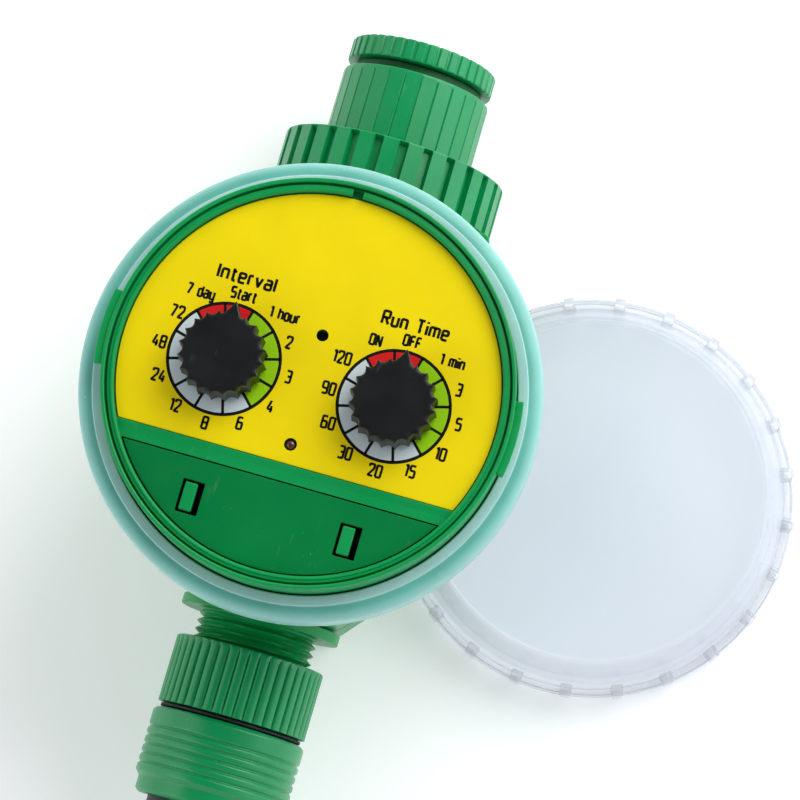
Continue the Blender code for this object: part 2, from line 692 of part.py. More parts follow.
def inlet_collar():
    loops = [ribbed(COLLAR_R, COLLAR_R - 1.0, COLLAR_RIBS), circle(16.9)]
    collar = extruded("inlet_collar", loops, 48.8, COLLAR_TOP_Y, (0, 0, PIPE_Z), "green_plastic", axis="Y")
    lip = ring("collar_lip", PIPE_R + 0.5, COLLAR_R - 1.2, COLLAR_LOW_Y, 49.0, (0, 0, PIPE_Z), "green_plastic",
               "Y", 32)
    return join(collar, lip)


def collar_washer():
    return ring("collar_washer", 9.4, 15.6, 51.8, 53.8, (0, 0, PIPE_Z), "black_rubber", "Y", 20)


def inlet_reducer():
    """1 inch to 3/4 inch adapter: its screwed part sits in the collar, its grip stands above."""
    profile = [(12.3, NECK_TOP_Y), (15.4, NECK_TOP_Y), (15.4, COLLAR_TOP_Y + GAP), (16.4, COLLAR_TOP_Y - 0.4),
               (16.4, 54.1), (9.4, 54.1), (9.4, 63.8), (12.3, 64.2)]
    neck = turned("inlet_reducer", profile, (0, 0, PIPE_Z), "green_plastic", "Y", 24)
    loops = [circle(NECK_R, NECK_FACETS), circle(15.0)]
    grip = extruded("reducer_grip", loops, COLLAR_TOP_Y + GAP, NECK_TOP_Y, (0, 0, PIPE_Z), "green_plastic", "Y")
    return join(neck, grip)


def bush_washer():
    return ring("bush_washer", 12.0, 14.4, NECK_TOP_Y + GAP, BUSH_LOW_Y - GAP, (0, 0, PIPE_Z), "black_rubber",
                "Y", 24)


def inlet_bush():
    """3/4 inch to 1/2 inch bush: knurled flange above, screwed stem down inside the reducer."""
    profile = [(TAP_BORE_R, BUSH_TOP_Y), (15.2, BUSH_TOP_Y), (15.2, BUSH_LOW_Y), (11.7, BUSH_LOW_Y),
               (11.7, 66.9), (TAP_BORE_R, 66.9)]
    bush = turned("inlet_bush", profile, (0, 0, PIPE_Z), "green_plastic", "Y", 24)
    loops = [fine_ribs(BUSH_R, BUSH_R - 0.45, BUSH_RIBS), circle(14.8)]
    flange = extruded("bush_flange", loops, BUSH_LOW_Y, BUSH_TOP_Y, (0, 0, PIPE_Z), "green_plastic", "Y")
    return join(bush, flange)


def outlet_nut():
    """3/4 inch nut with the quick connector's nipple on its outer end."""
    profile = [(THREAD_R + GAP, NUT_TOP_Y), (15.3, NUT_TOP_Y), (15.3, NUT_END_Y), (8.0, NUT_END_Y),
               (8.0, -72.4), (6.9, -72.4), (6.9, -74.8), (8.0, -74.8), (8.0, -78.4), (6.8, -79.4), (6.8, -81.4),
               (7.6, -82.0), (7.0, NIPPLE_END_Y), (5.0, NIPPLE_END_Y), (5.0, -65.2), (THREAD_R + GAP, -65.2)]
    nut = turned("outlet_nut", profile, (0, 0, PIPE_Z), "green_plastic", "Y", 24)
    loops = [fine_ribs(NUT_R, NUT_R - 0.6, NUT_RIBS), circle(15.0)]
    grip = extruded("nut_grip", loops, NUT_END_Y, NUT_TOP_Y, (0, 0, PIPE_Z), "green_plastic", "Y")
    return join(nut, grip)


def outlet_washer():
    return ring("outlet_washer", 8.2, 13.0, -63.4, -61.0, (0, 0, PIPE_Z), "black_rubber", "Y", 20)


def buffer_washer():
    return ring("buffer_washer", 8.4, 15.7, NUT_END_Y - 0.9, NUT_END_Y - GAP, (0, 0, PIPE_Z), "black_rubber",
                "Y", 32)


def nipple_seal():
    return ring("nipple_o_ring", 7.2, 8.6, -74.5, -72.7, (0, 0, PIPE_Z), "black_rubber", "Y", 20)


def connector_body():
    """Socket for the nipple above, and below it a threaded tail round the barb that the hose slides over."""
    profile = [(8.9, -69.9), (12.8, -69.9), (12.8, -90.6), (TAIL_R, -91.0), (TAIL_R, -100.0), (TAIL_R - 1.4, -100.0),
               (TAIL_R - 1.4, -92.0), (BARB_R, -91.0), (BARB_R, -98.0), (BARB_R - 0.7, -101.5),
               (BARB_BORE_R, -101.5), (BARB_BORE_R, -86.6), (8.9, -85.4)]
    return turned("connector_body", profile, (0, 0, PIPE_Z), "black_plastic", "Y", 24)


def connector_sleeve():
    profile = [(13.1, -69.2), (SLEEVE_R - 0.8, -69.2), (SLEEVE_R, -70.0), (SLEEVE_R, -83.0), (SLEEVE_R - 1.0, -84.5),
               (SLEEVE_R - 1.0, -87.2), (SLEEVE_R - 1.8, SLEEVE_END_Y), (13.1, SLEEVE_END_Y)]
    return turned("connector_sleeve", profile, (0, 0, PIPE_Z), "green_plastic", "Y", 32)


def grip_ring():
    return ring("grip_ring", HOSE_R, TAIL_R - 1.7, -99.6, -92.6, (0, 0, PIPE_Z), "white_plastic", "Y", 20)


def hose_nut():
    profile = [(TAIL_R + GAP, -91.4), (14.4, -91.4), (14.4, HOSE_END_Y), (HOSE_R, HOSE_END_Y), (HOSE_R, -100.4),
               (TAIL_R + GAP, -100.4)]
    nut = turned("hose_nut", profile, (0, 0, PIPE_Z), "green_plastic", "Y", 24)
    loops = [ribbed(15.6, 15.0, 16), circle(14.1)]
    grip = extruded("hose_nut_grip", loops, HOSE_END_Y, -91.4, (0, 0, PIPE_Z), "green_plastic", "Y")
    return join(nut, grip)


# --- drive ------------------------------------------------------------------------------------------------------

def gearbox_base():
    loop = rounded_box(GEARBOX_LOW, GEARBOX_HIGH, 3.0)
    base = extruded("gearbox_base", [loop, circle(5.4, 16), circle(1.5, 10, TRANSFER_AT)], 47.6, 49.4, (0, 0, 0),
                    "white_plastic")
    inner_low = [value + 1.0 for value in GEARBOX_LOW]
    inner_high = [value - 1.0 for value in GEARBOX_HIGH]
    walls = [rounded_box(GEARBOX_LOW, GEARBOX_HIGH, 3.0), rounded_box(inner_low, inner_high, 2.0)]
    rim = extruded("gearbox_rim", walls, 49.0, 56.6, (0, 0, 0), "white_plastic")
    return join(base, rim)


def gearbox_cover():
    loop = rounded_box(GEARBOX_LOW, GEARBOX_HIGH, 3.0)
    holes = [circle(3.4, 16), circle(1.5, 10, TRANSFER_AT), circle(2.2, 12, MOTOR_AT)]
    return extruded("gearbox_cover", [loop] + holes, 56.9, 58.1, (0, 0, 0), "white_plastic")


def output_gear():
    tooth_at = radians(TRANSFER_DEG)
    loops = [gear(OUTPUT_TEETH, tooth_at), circle(3.3, 16)]
    return extruded("output_gear", loops, GEAR_Z, GEAR_Z + 3.0, (0, 0, 0), "white_plastic")


def transfer_gear():
    half_pitch = pi / PINION_TEETH
    at = (*TRANSFER_AT, 0.0)
    bore = circle(1.5, 12)
    pinion = extruded("transfer_gear", [gear(PINION_TEETH, radians(TRANSFER_DEG) + pi + half_pitch), bore],
                      GEAR_Z, GEAR_Z + 3.6, at, "white_plastic")
    wheel = extruded("transfer_wheel", [gear(TRANSFER_WHEEL_TEETH, radians(MOTOR_DEG)), bore],
                     GEAR_Z + 3.4, GEAR_Z + 5.4, at, "white_plastic")
    return join(pinion, wheel)


def motor_pinion():
    tooth_at = radians(MOTOR_DEG) + pi + pi / PINION_TEETH
    loops = [gear(PINION_TEETH, tooth_at), circle(1.25, 12)]
    return extruded("motor_pinion", loops, GEAR_Z + 3.4, GEAR_Z + 6.2, (*MOTOR_AT, 0.0), "brass")


def motor():
    profile = [(0.0, 72.6), (2.4, 72.6), (2.4, 71.8), (7.75, 71.8), (7.75, 58.4), (1.3, 58.4), (1.3, 62.0),
               (0.0, 62.0)]
    return turned("motor", profile, (*MOTOR_AT, 0.0), "steel", steps=24)


def screw(name, x, y, head_low, head_r, length):
    """A screw driven upwards, with its head below."""
    head_top = head_low + SCREW_HEAD_H
    profile = [(0.0, head_top + length), (0.6, head_top + length), (1.0, head_top + length - 1.2),
               (1.0, head_top), (head_r, head_top), (head_r, head_low + 0.6), (head_r - 0.5, head_low),
               (0.0, head_low)]
    return turned(name, profile, (x, y, 0.0), "steel", steps=8)


def screws():
    for i, (x, y) in enumerate(BACK_SCREWS, 1):
        screw(f"housing_screw_{i}", x, y, SCREW_SEAT_Z - GAP - SCREW_HEAD_H, 2.3, 14.0)
    for i, (x, y) in enumerate(FRONT_SCREWS, 1):
        screw(f"front_screw_{i}", x, y, DRUM_Z - GAP - SCREW_HEAD_H, 2.3, 14.0)


# --- clear cover ------------------------------------------------------------------------------------------------

def clear_cover():
    profile = [(0.0, COVER_H), (COVER_TOP_R, COVER_H), (COVER_TOP_R + 1.7, COVER_H - 0.8),
               (COVER_TOP_R + 2.4, COVER_H - 2.4), (COVER_SHOULDER_R, COVER_SKIRT_H + 1.0),
               (COVER_SKIRT_R, COVER_SKIRT_H), (COVER_SKIRT_R, 0.0), (COVER_SKIRT_IN, 0.0),
               (COVER_SKIRT_IN, COVER_SKIRT_H - 1.0), (COVER_SHOULDER_R - COVER_WALL, COVER_SKIRT_H + 0.4),
               (COVER_TOP_R + 1.0, COVER_H - 2.6), (COVER_TOP_R + 0.2, COVER_H - COVER_WALL),
               (0.0, COVER_H - COVER_WALL)]
    at = (COVER_X, COVER_Y, 0.0)
    cover = turned("clear_cover", profile, at, "clear_plastic", steps=48)
    bumps = []
    pitch = 2 * pi / COVER_BUMPS
    for i in range(COVER_BUMPS):
        middle = (i + 0.5) * pitch
        half = 1.0 / COVER_BUMP_R
        loop = arc(COVER_BUMP_R, middle - half, middle + half, 1) + arc(
            COVER_SKIRT_R - 0.5, middle + half * 1.5, middle - half * 1.5, 1)
        bumps.append(extruded(f"bump_{i}", [loop], 0.0, COVER_SKIRT_H - 0.6, at, "clear_plastic"))
    join(cover, gathered("bumps", bumps, at, "clear_plastic"))
    for side in (0.0, pi):
        first = side - radians(LUG_HALF_DEG + 1.0)
        last = side + radians(LUG_HALF_DEG + 1.0)
        loop = arc(COVER_BUMP_R + 2, first, last, 4) + arc(COVER_SKIRT_IN - 1, last, first, 4)
        slot_name = "slot_right" if side == 0.0 else "slot_left"
        cut(cover, extruded(slot_name, [loop], 3.4, 5.4, at, "clear_plastic"))
    return cover


# --- build ------------------------------------------------------------------------------------------------------

def build():
    back_cover()
    mid_housing()
    front_shell()
    rim_gasket()
    face_plate()
    dial_label()
    status_lamp()
    circuit_board()
    for side, x in (("left", -DIAL_X), ("right", DIAL_X)):
        knob(f"knob_{side}", x)
        switch_shaft(f"switch_shaft_{side}", x)
        rotary_switch(f"rotary_switch_{side}", x)
        latch_tab(f"latch_tab_{side}", -1 if x < 0 else 1)
    battery_box()
    cell("cell_lower", CELL_Z[0], -1)
    cell("cell_upper", CELL_Z[1], 1)
    contact("contact_left", -1)
    contact("contact_right", 1)
    battery_door()
    valve_body()
    ball_seat("seat_inlet", 1)
    ball_seat("seat_outlet", -1)
    ball()
    valve_stem()
    stem_seal()
    seat_retainer()
    filter_screen()
    inlet_collar()
    collar_washer()
    inlet_reducer()
    bush_washer()
    inlet_bush()
    outlet_nut()
    outlet_washer()
    buffer_washer()
    nipple_seal()
    connector_body()
    connector_sleeve()
    grip_ring()
    hose_nut()
    gearbox_base()
    gearbox_cover()
    output_gear()
    transfer_gear()
    rod("transfer_axle", 1.2, 47.8, 57.9, (*TRANSFER_AT, 0.0), "steel", steps=12)
    motor_pinion()
    rod("motor_shaft", 0.95, GEAR_Z + 3.6, 61.6, (*MOTOR_AT, 0.0), "steel", steps=12)
    motor()
    screws()
    clear_cover()


build()
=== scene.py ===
from math import asin, cos, hypot, pi, radians, sin, sqrt

import bmesh
import bpy
from mathutils import Matrix, Vector


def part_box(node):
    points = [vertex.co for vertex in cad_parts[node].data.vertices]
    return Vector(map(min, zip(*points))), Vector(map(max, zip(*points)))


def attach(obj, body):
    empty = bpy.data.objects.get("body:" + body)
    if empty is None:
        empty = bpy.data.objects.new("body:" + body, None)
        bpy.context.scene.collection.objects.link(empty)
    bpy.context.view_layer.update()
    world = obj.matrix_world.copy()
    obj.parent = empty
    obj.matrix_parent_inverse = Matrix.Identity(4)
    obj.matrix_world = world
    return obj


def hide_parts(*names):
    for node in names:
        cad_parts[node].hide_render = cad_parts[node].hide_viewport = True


# Looks for the two-dial garden watering timer: detailed pieces, materials, light and camera round the packed
# model. Lengths are in millimetres until the mesh builders turn them into metres. Axes are the model's.

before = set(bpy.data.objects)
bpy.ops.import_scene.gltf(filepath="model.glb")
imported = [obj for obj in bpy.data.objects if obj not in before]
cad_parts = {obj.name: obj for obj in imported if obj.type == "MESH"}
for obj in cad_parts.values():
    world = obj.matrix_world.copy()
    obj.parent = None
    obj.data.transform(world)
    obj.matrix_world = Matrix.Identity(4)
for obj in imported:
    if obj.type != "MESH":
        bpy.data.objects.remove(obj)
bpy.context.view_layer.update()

MM = 0.001
PIPE = (0.0, 0.0, 27.0)      # a point on the pipe's axis, which runs along Y

# Levels and radii of the face, as in the model
LABEL_Z = 80.0
LABEL_R = 39.4
PLATE_LOW = 76.6
PLATE_R = 40.2
SHELL_TOP = 73.0
RING_TOP = 82.0
RING_OUT = 42.5
RING_IN = 41.7
INNER_IN = 39.7
STRIP_TOP_Y = -17.4
STRIP_LOW_Y = -20.9
DIAL_X = 18.05
DIAL_Y = 0.1
HOLE_Y = 10.25
LAMP_Y = -13.15
WINDOW_X = 16.65             # middle of each window in the battery door
DOOR_LOW = 78.3
KNOB_TOP = 88.0
COVER_AT = (62.2, 3.5, 0.0)

# Print on the dials
SECTOR_IN = 4.6
SECTOR_OUT = 11.45
RING_LINE = (11.22, 11.88)
NUMBER_R = 13.75
STROKE = 0.245               # half the width of a line
TITLE_STROKE = 0.285

PITCH = 1.814                # of the pipe threads

# The housing's block, split in two at the pipe's axis, and the round part on it, as in the model
SPLIT_Z = 27.0
GAP = 0.3
WALL = 2.2
DRUM_Z = 45.0
DRUM_TOP = 66.3
DRUM_R = 44.5
BLOCK_TOP = 46.0
BLOCK_HALF_W = 26.0
BLOCK_LOW_Y = -43.7
BLOCK_HIGH_Y = 46.7
BLOCK_CORNER = 10.2
FOOT_HALF_W = 16.0
FOOT_TOP = 11.0
FLARE_TOP = 23.0
SCREW_SEAT_Z = 21.2
POST_R = 3.7
PIPE_HOLE_R = 14.3
WAY_UP = (-23.2, -30.2, 23.2, 31.8)      # opening from the block up into the round part


# --- materials ---

def linear(red, green, blue):
    """A screen colour, 0 to 255, as scene-linear values."""
    def one(value):
        value /= 255.0
        return value / 12.92 if value <= 0.04045 else ((value + 0.055) / 1.055) ** 2.4
    return (one(red), one(green), one(blue), 1.0)


class Nodes:
    """Short ways to add and link shader nodes."""

    def __init__(self, name):
        self.material = bpy.data.materials.new(name)
        self.material.use_nodes = True
        self.tree = self.material.node_tree
        self.shader = self.tree.nodes["Principled BSDF"]
        self.point = self.add("ShaderNodeTexCoord").outputs["Object"]

    def add(self, kind, **settings):
        node = self.tree.nodes.new(kind)
        for key, value in settings.items():
            setattr(node, key, value)
        return node

    def feed(self, socket, value):
        """Gives a socket a plain value or a link."""
        if isinstance(value, bpy.types.NodeSocket):
            self.tree.links.new(value, socket)
        else:
            socket.default_value = value

    def fill(self, node, **values):
        """Feeds a node's sockets, which are named with _ for each space."""
        for key, value in values.items():
            self.feed(node.inputs[key.replace("_", " ")], value)
        return node

    def set(self, **values):
        self.fill(self.shader, **values)

    def noise(self, scale, detail=3.0, rough=0.5, stretch=None):
        source = self.point
        if stretch is not None:
            mapping = self.fill(self.add("ShaderNodeMapping"), Scale=stretch, Vector=source)
            source = mapping.outputs["Vector"]
        node = self.add("ShaderNodeTexNoise")
        self.fill(node, Scale=scale, Detail=detail, Roughness=rough, Vector=source)
        return node.outputs["Fac"]

    def spread(self, value, low, high, out_low=0.0, out_high=1.0):
        node = self.add("ShaderNodeMapRange")
        self.fill(node, Value=value, From_Min=low, From_Max=high, To_Min=out_low, To_Max=out_high)
        return node.outputs["Result"]

    def maths(self, operation, *values):
        node = self.add("ShaderNodeMath", operation=operation)
        for socket, value in zip(node.inputs, values):
            self.feed(socket, value)
        return node.outputs["Value"]

    def mixed(self, factor, first, second):
        node = self.add("ShaderNodeMix", data_type="RGBA")
        colours = [socket for socket in node.inputs if socket.type == "RGBA"]
        for socket, value in zip((node.inputs["Factor"], *colours), (factor, first, second)):
            self.feed(socket, value)
        return next(socket for socket in node.outputs if socket.type == "RGBA")

    def from_axis(self, point):
        """A point's distance from the upright axis."""
        parts = self.fill(self.add("ShaderNodeSeparateXYZ"), Vector=point)
        squares = [self.maths("POWER", parts.outputs[axis], 2.0) for axis in "XY"]
        return self.maths("SQRT", self.maths("ADD", *squares))

    def bump(self, height, strength, distance=0.0001):
        node = self.add("ShaderNodeBump")
        self.fill(node, Height=height, Strength=strength, Distance=distance)
        self.set(Normal=node.outputs["Normal"])


def shade(colour, factor):
    return tuple(min(1.0, value * factor) for value in colour[:3]) + (1.0,)


def moulded(name, colour, rough=0.34, vary=0.08, wear=0.1, dust=0.0, **extra):
    """Moulded plastic: slow mottling from the melt, fine tool texture, duller patches, rubbed scuffs."""
    m = Nodes(name)
    slow = m.spread(m.noise(55.0, 4.0), 0.3, 0.7)
    base = m.mixed(slow, shade(colour, 1.0 - vary), shade(colour, 1.0 + vary))
    scuffs = m.spread(m.noise(800.0, 2.0, 0.5, (1.0, 0.16, 1.0)), 0.66, 0.72)
    rubbed = m.maths("MULTIPLY", scuffs, m.spread(m.noise(90.0, 3.0), 0.48, 0.66, 0.0, wear))
    pale = tuple(value + (1.0 - value) * 0.22 for value in colour[:3]) + (1.0,)
    base = m.mixed(rubbed, base, pale)
    if dust:
        fleck = m.spread(m.noise(2600.0, 1.0), 0.78, 0.84)
        base = m.mixed(m.maths("MULTIPLY", fleck, dust), base, (0.75, 0.85, 0.8, 1.0))
    m.set(Base_Color=base)
    patches = m.spread(m.noise(140.0, 5.0, 0.6), 0.3, 0.7, rough - 0.05, rough + 0.07)
    m.set(Roughness=m.maths("ADD", patches, m.maths("MULTIPLY", rubbed, 0.3)))
    tool = m.noise(2400.0, 2.0)
    ripple = m.maths("MULTIPLY", m.noise(260.0, 2.0), 1.6)
    m.bump(m.maths("ADD", tool, ripple), 0.1)
    m.set(**{"Specular_IOR_Level": 0.32, **extra})
    return m.material


def rubber(name, colour):
    m = Nodes(name)
    bloom = m.spread(m.noise(300.0, 5.0, 0.65), 0.45, 0.8)
    m.set(Base_Color=m.mixed(bloom, colour, shade(colour, 2.2)))
    m.set(Roughness=m.spread(m.noise(900.0), 0.3, 0.7, 0.62, 0.85))
    m.bump(m.noise(3200.0, 3.0), 0.3)
    return m.material


def metal(name, colour):
    """Turned or plated metal: fine lines along the work, tarnish in patches."""
    m = Nodes(name)
    tarnish = m.spread(m.noise(180.0, 5.0), 0.4, 0.75)
    m.set(Base_Color=m.mixed(tarnish, colour, shade(colour, 0.72)))
    lines = m.noise(900.0, 3.0, 0.6, (1.0, 1.0, 18.0))
    m.set(Roughness=m.spread(lines, 0.3, 0.7, 0.22, 0.44), Metallic=1.0)
    m.bump(lines, 0.15, 0.00005)
    return m.material


def printed_film(name, colour, rough):
    """Printed film: a faint orange-peel gloss and slight unevenness in the ink."""
    m = Nodes(name)
    uneven = m.spread(m.noise(90.0, 4.0), 0.3, 0.7)
    m.set(Base_Color=m.mixed(uneven, shade(colour, 0.96), shade(colour, 1.03)))
    gloss = m.spread(m.noise(400.0, 4.0), 0.3, 0.7, rough - 0.04, rough + 0.08)
    m.set(Roughness=gloss, Specular_IOR_Level=0.15)
    m.bump(m.noise(1500.0, 2.0), 0.05)
    return m.material


def frosted_shell():
    """Milky shell: paler on its flat, which lies over the housing's wall, with painted reflection of the
    white surroundings; greener at the rounded rim;
    and paler again at the very edge, with painted light shining through the thin plastic."""
    m = Nodes("frosted_shell")
    from_middle = m.from_axis(m.point)
    rim = m.spread(from_middle, 0.0449, 0.0453)
    thin = m.spread(from_middle, 0.0462, 0.0482)
    cloud = m.spread(m.noise(70.0, 4.0), 0.3, 0.7)
    # The flat's pale colour holds painted reflection of the white surroundings.
    pale = m.mixed(cloud, linear(164, 202, 202), linear(176, 214, 214))
    deep = m.mixed(cloud, linear(92, 166, 154), linear(106, 182, 170))
    # The very edge's paler colour is painted light shining through the thin plastic.
    edge = m.mixed(m.maths("MULTIPLY", thin, 0.8), deep, linear(152, 198, 192))
    base = m.mixed(rim, pale, edge)
    fleck = m.spread(m.noise(1500.0, 1.0), 0.76, 0.82)
    base = m.mixed(m.maths("MULTIPLY", fleck, 0.5), base, (0.8, 0.95, 0.93, 1.0))
    m.set(Base_Color=base)
    m.set(Roughness=m.spread(m.noise(500.0, 4.0), 0.3, 0.7, 0.34, 0.5))
    m.bump(m.noise(2200.0, 3.0), 0.12)
    m.set(Subsurface_Weight=0.3, Subsurface_Radius=(0.5, 1.0, 0.95), Subsurface_Scale=0.002,
          Specular_IOR_Level=0.35)
    return m.material


def clear_plastic():
    """Thin clear styrene: a faint blue tint in the flat window, partly its own and partly painted reflection
    of a bluish-grey ceiling; whiter in the moulded rim, where the whiter colour is a painted highlight, and
    wherever it is seen on the slant; with slight waviness and fine scratches."""
    m = Nodes("clear_moulding")
    shift = m.add("ShaderNodeVectorMath", operation="SUBTRACT")
    shift.inputs[1].default_value = (COVER_AT[0] * MM, COVER_AT[1] * MM, 0.0)
    m.feed(shift.inputs[0], m.point)
    rim = m.spread(m.from_axis(shift.outputs["Vector"]), 0.0372, 0.0380)
    cloud = m.spread(m.noise(45.0, 3.0), 0.3, 0.7)
    # Window colour: partly the plastic's own faint tint, partly painted reflection of a bluish-grey ceiling.
    window = m.mixed(cloud, (0.19, 0.31, 0.50, 1.0), (0.27, 0.40, 0.60, 1.0))
    # The rim's whiter colour is a painted highlight.
    m.set(Base_Color=m.mixed(rim, window, (0.52, 0.57, 0.68, 1.0)))
    edge = m.add("ShaderNodeLayerWeight")
    edge.inputs["Blend"].default_value = 0.45
    slant = m.maths("POWER", edge.outputs["Facing"], 1.6)
    seen = m.spread(rim, 0.0, 1.0, 0.14, 0.12)
    m.set(Alpha=m.maths("ADD", seen, m.maths("MULTIPLY", slant, 0.6)))
    haze = m.spread(m.noise(900.0, 4.0, 0.6, (1.0, 9.0, 1.0)), 0.55, 0.8, 0.06, 0.16)
    m.set(Roughness=haze, Specular_IOR_Level=1.0)
    m.bump(m.noise(110.0, 2.0), 0.1, 0.0002)
    return m.material


def lamp_lens():
    m = Nodes("lamp_lens")
    tint = m.mixed(m.noise(900.0), linear(62, 30, 24), linear(88, 46, 34))
    m.set(Base_Color=tint, Roughness=m.spread(m.noise(2000.0), 0.3, 0.7, 0.12, 0.25), Coat_Weight=0.6)
    return m.material


green = moulded("green_moulding", linear(0, 140, 70), dust=0.15)
gloss_green = moulded("adapter_moulding", linear(0, 138, 78), rough=0.3, dust=0.15,
                      Specular_IOR_Level=0.5)
door_green = moulded("door_moulding", linear(0, 114, 55), rough=0.4, dust=0.2,
                     Specular_IOR_Level=0.12)
deep_green = moulded("seal_green", linear(0, 84, 36), rough=0.5)
knob_black = moulded("knob_moulding", linear(14, 17, 18), rough=0.36, vary=0.15, wear=0.12)
black = moulded("black_moulding", linear(24, 25, 26), rough=0.4, vary=0.2, wear=0.15)
white = moulded("white_moulding", linear(226, 224, 216), rough=0.4, vary=0.03, wear=0.0)
board = moulded("board_mask", linear(24, 84, 48), rough=0.3, vary=0.15, wear=0.1)
cell_skin = moulded("cell_sleeve", linear(52, 60, 84), rough=0.28, vary=0.1, wear=0.4)
dark_rubber = rubber("seal_rubber", linear(20, 21, 22))
steel = metal("plated_steel", linear(196, 198, 200))
brass = metal("turned_brass", linear(206, 170, 92))
yellow = printed_film("label_film", linear(228, 204, 0), 0.45)
ink = printed_film("ink_black", linear(10, 12, 8), 0.5)
ink_red = printed_film("ink_red", linear(206, 26, 28), 0.42)
ink_lime = printed_film("ink_lime", linear(140, 192, 14), 0.42)
ink_white = printed_film("ink_white", linear(194, 206, 208), 0.42)
shell_plastic = frosted_shell()
clear = clear_plastic()
lamp = lamp_lens()


# --- mesh builders ---

def add_object(name, data):
    obj = bpy.data.objects.new(name, data)
    bpy.context.scene.collection.objects.link(obj)
    return obj


def finish_piece(mesh, name, material, body, replaced=(), smooth=34.0):
    face_outwards(mesh)
    mesh.materials.clear()
    mesh.materials.append(material)
    mesh.shade_smooth()
    mesh.set_sharp_from_angle(angle=radians(smooth))
    mesh.name = name
    obj = add_object(name, mesh)
    flats = obj.modifiers.new("flat_faces", "WEIGHTED_NORMAL")
    flats.keep_sharp = True
    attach(obj, body)
    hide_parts(*replaced)


def stand_for(mesh, node, material, body="timer", smooth=34.0):
    """A piece in place of one CAD node, named after it."""
    finish_piece(mesh, node + "_look", material, body, [node], smooth)


def rounded(points, radius, steps=3, closed=True):
    """The same outline with each corner eased; radius is how far from the corner the easing starts."""
    count = len(points)
    loop = []
    for i, here in enumerate(points):
        if not closed and i in (0, count - 1):
            loop.append(here)
            continue
        before, after = points[i - 1], points[(i + 1) % count]
        ends = []
        for other in (before, after):
            length = hypot(other[0] - here[0], other[1] - here[1])
            share = min(radius, 0.45 * length) / length
            ends.append(tuple(a + (b - a) * share for a, b in zip(here, other)))
        for step in range(steps + 1):
            t = step / steps
            loop.append(tuple((1 - t) ** 2 * a + 2 * t * (1 - t) * b + t * t * c
                              for a, b, c in zip(ends[0], here, ends[1])))
    return loop


def even(steps):
    return [2 * pi * i / steps for i in range(steps)]


def on_axis(axis, radius, angle, height, at):
    across, up = radius * cos(angle), radius * sin(angle)
    offset = (across, up, height) if axis == "Z" else (across, height, up)
    return [(a + b) * MM for a, b in zip(at, offset)]


def lathe(profile, angles, shaped=None, at=PIPE, axis="Y"):
    """A turned mesh. profile is a closed outline of (radius, height), or runs from axis to axis.
    shaped(radius, height, angle) may change each point's radius, for ribs and threads."""
    open_ends = profile[0][0] == 0.0
    verts, rows = [], []
    for radius, height in profile:
        if radius == 0.0:
            rows.append([len(verts)] * len(angles))
            verts.append(on_axis(axis, 0.0, 0.0, height, at))
            continue
        rows.append(list(range(len(verts), len(verts) + len(angles))))
        for angle in angles:
            here = shaped(radius, height, angle) if shaped else radius
            verts.append(on_axis(axis, here, angle, height, at))
    faces = []
    pairs = list(zip(rows, rows[1:])) + ([] if open_ends else [(rows[-1], rows[0])])
    for upper, lower in pairs:
        for i in range(len(angles)):
            j = (i + 1) % len(angles)
            faces.append(list(dict.fromkeys((upper[i], upper[j], lower[j], lower[i]))))
    mesh = bpy.data.meshes.new("part")
    mesh.from_pydata(verts, [], faces)
    return mesh


def evaluated_mesh(obj):
    bpy.context.view_layer.update()
    return bpy.data.meshes.new_from_object(obj.evaluated_get(bpy.context.evaluated_depsgraph_get()))


def upright(profile, steps, centre=(0.0, 0.0)):
    """A plain turned mesh on an upright axis."""
    return lathe(profile, even(steps), at=(*centre, 0.0), axis="Z")


def slab(loops, low, high, bevel):
    """A flat outline with holes, pulled up from low to high, with eased edges."""
    curve = bpy.data.curves.new("outline", "CURVE")
    curve.dimensions = "2D"
    curve.fill_mode = "BOTH"
    curve.bevel_depth = bevel * MM
    curve.bevel_resolution = 2
    curve.offset = -bevel * MM
    curve.extrude = ((high - low) / 2 - bevel) * MM
    for loop in loops:
        spline = curve.splines.new("POLY")
        spline.points.add(len(loop) - 1)
        for point, (x, y) in zip(spline.points, loop):
            point.co = (x * MM, y * MM, 0.0, 1.0)
        spline.use_cyclic_u = True
    guide = add_object("guide", curve)
    mesh = evaluated_mesh(guide)
    bpy.data.objects.remove(guide)
    mesh.transform(Matrix.Translation((0.0, 0.0, (low + high) / 2 * MM)))
    return mesh


def merged(*meshes):
    """Several meshes in one."""
    shape = bmesh.new()
    for mesh in meshes:
        shape.from_mesh(mesh)
    made = bpy.data.meshes.new("part")
    shape.to_mesh(made)
    shape.free()
    return made


def face_outwards(mesh):
    """Joins doubled points and turns every face to the outside."""
    shape = bmesh.new()
    shape.from_mesh(mesh)
    bmesh.ops.remove_doubles(shape, verts=shape.verts, dist=1e-6)
    bmesh.ops.recalc_face_normals(shape, faces=shape.faces)
    shape.to_mesh(mesh)
    shape.free()


def carved(mesh, *cutters, operation="DIFFERENCE"):
    """The mesh with each cutter's space taken away, joined on (UNION) or kept (INTERSECT)."""
    holder = add_object("carve_holder", mesh)
    tools = []
    for cutter in cutters:
        tool = add_object("carve_tool", cutter)
        modifier = holder.modifiers.new("carve", "BOOLEAN")
        modifier.operation = operation
        modifier.solver = "EXACT"
        modifier.object = tool
        tools.append(tool)
    made = evaluated_mesh(holder)
    for obj in tools + [holder]:
        bpy.data.objects.remove(obj)
    return made


def arc(radius, first, last, steps, centre=(0.0, 0.0)):
    angles = [first + (last - first) * i / steps for i in range(steps + 1)]
    return [(centre[0] + radius * cos(a), centre[1] + radius * sin(a)) for a in angles]


def circle(radius, steps, centre=(0.0, 0.0)):
    return arc(radius, 0.0, 2 * pi, steps, centre)[:-1]


def mirrored(right):
    """An outline from its right half."""
    return right + [(-x, y) for x, y in reversed(right)]


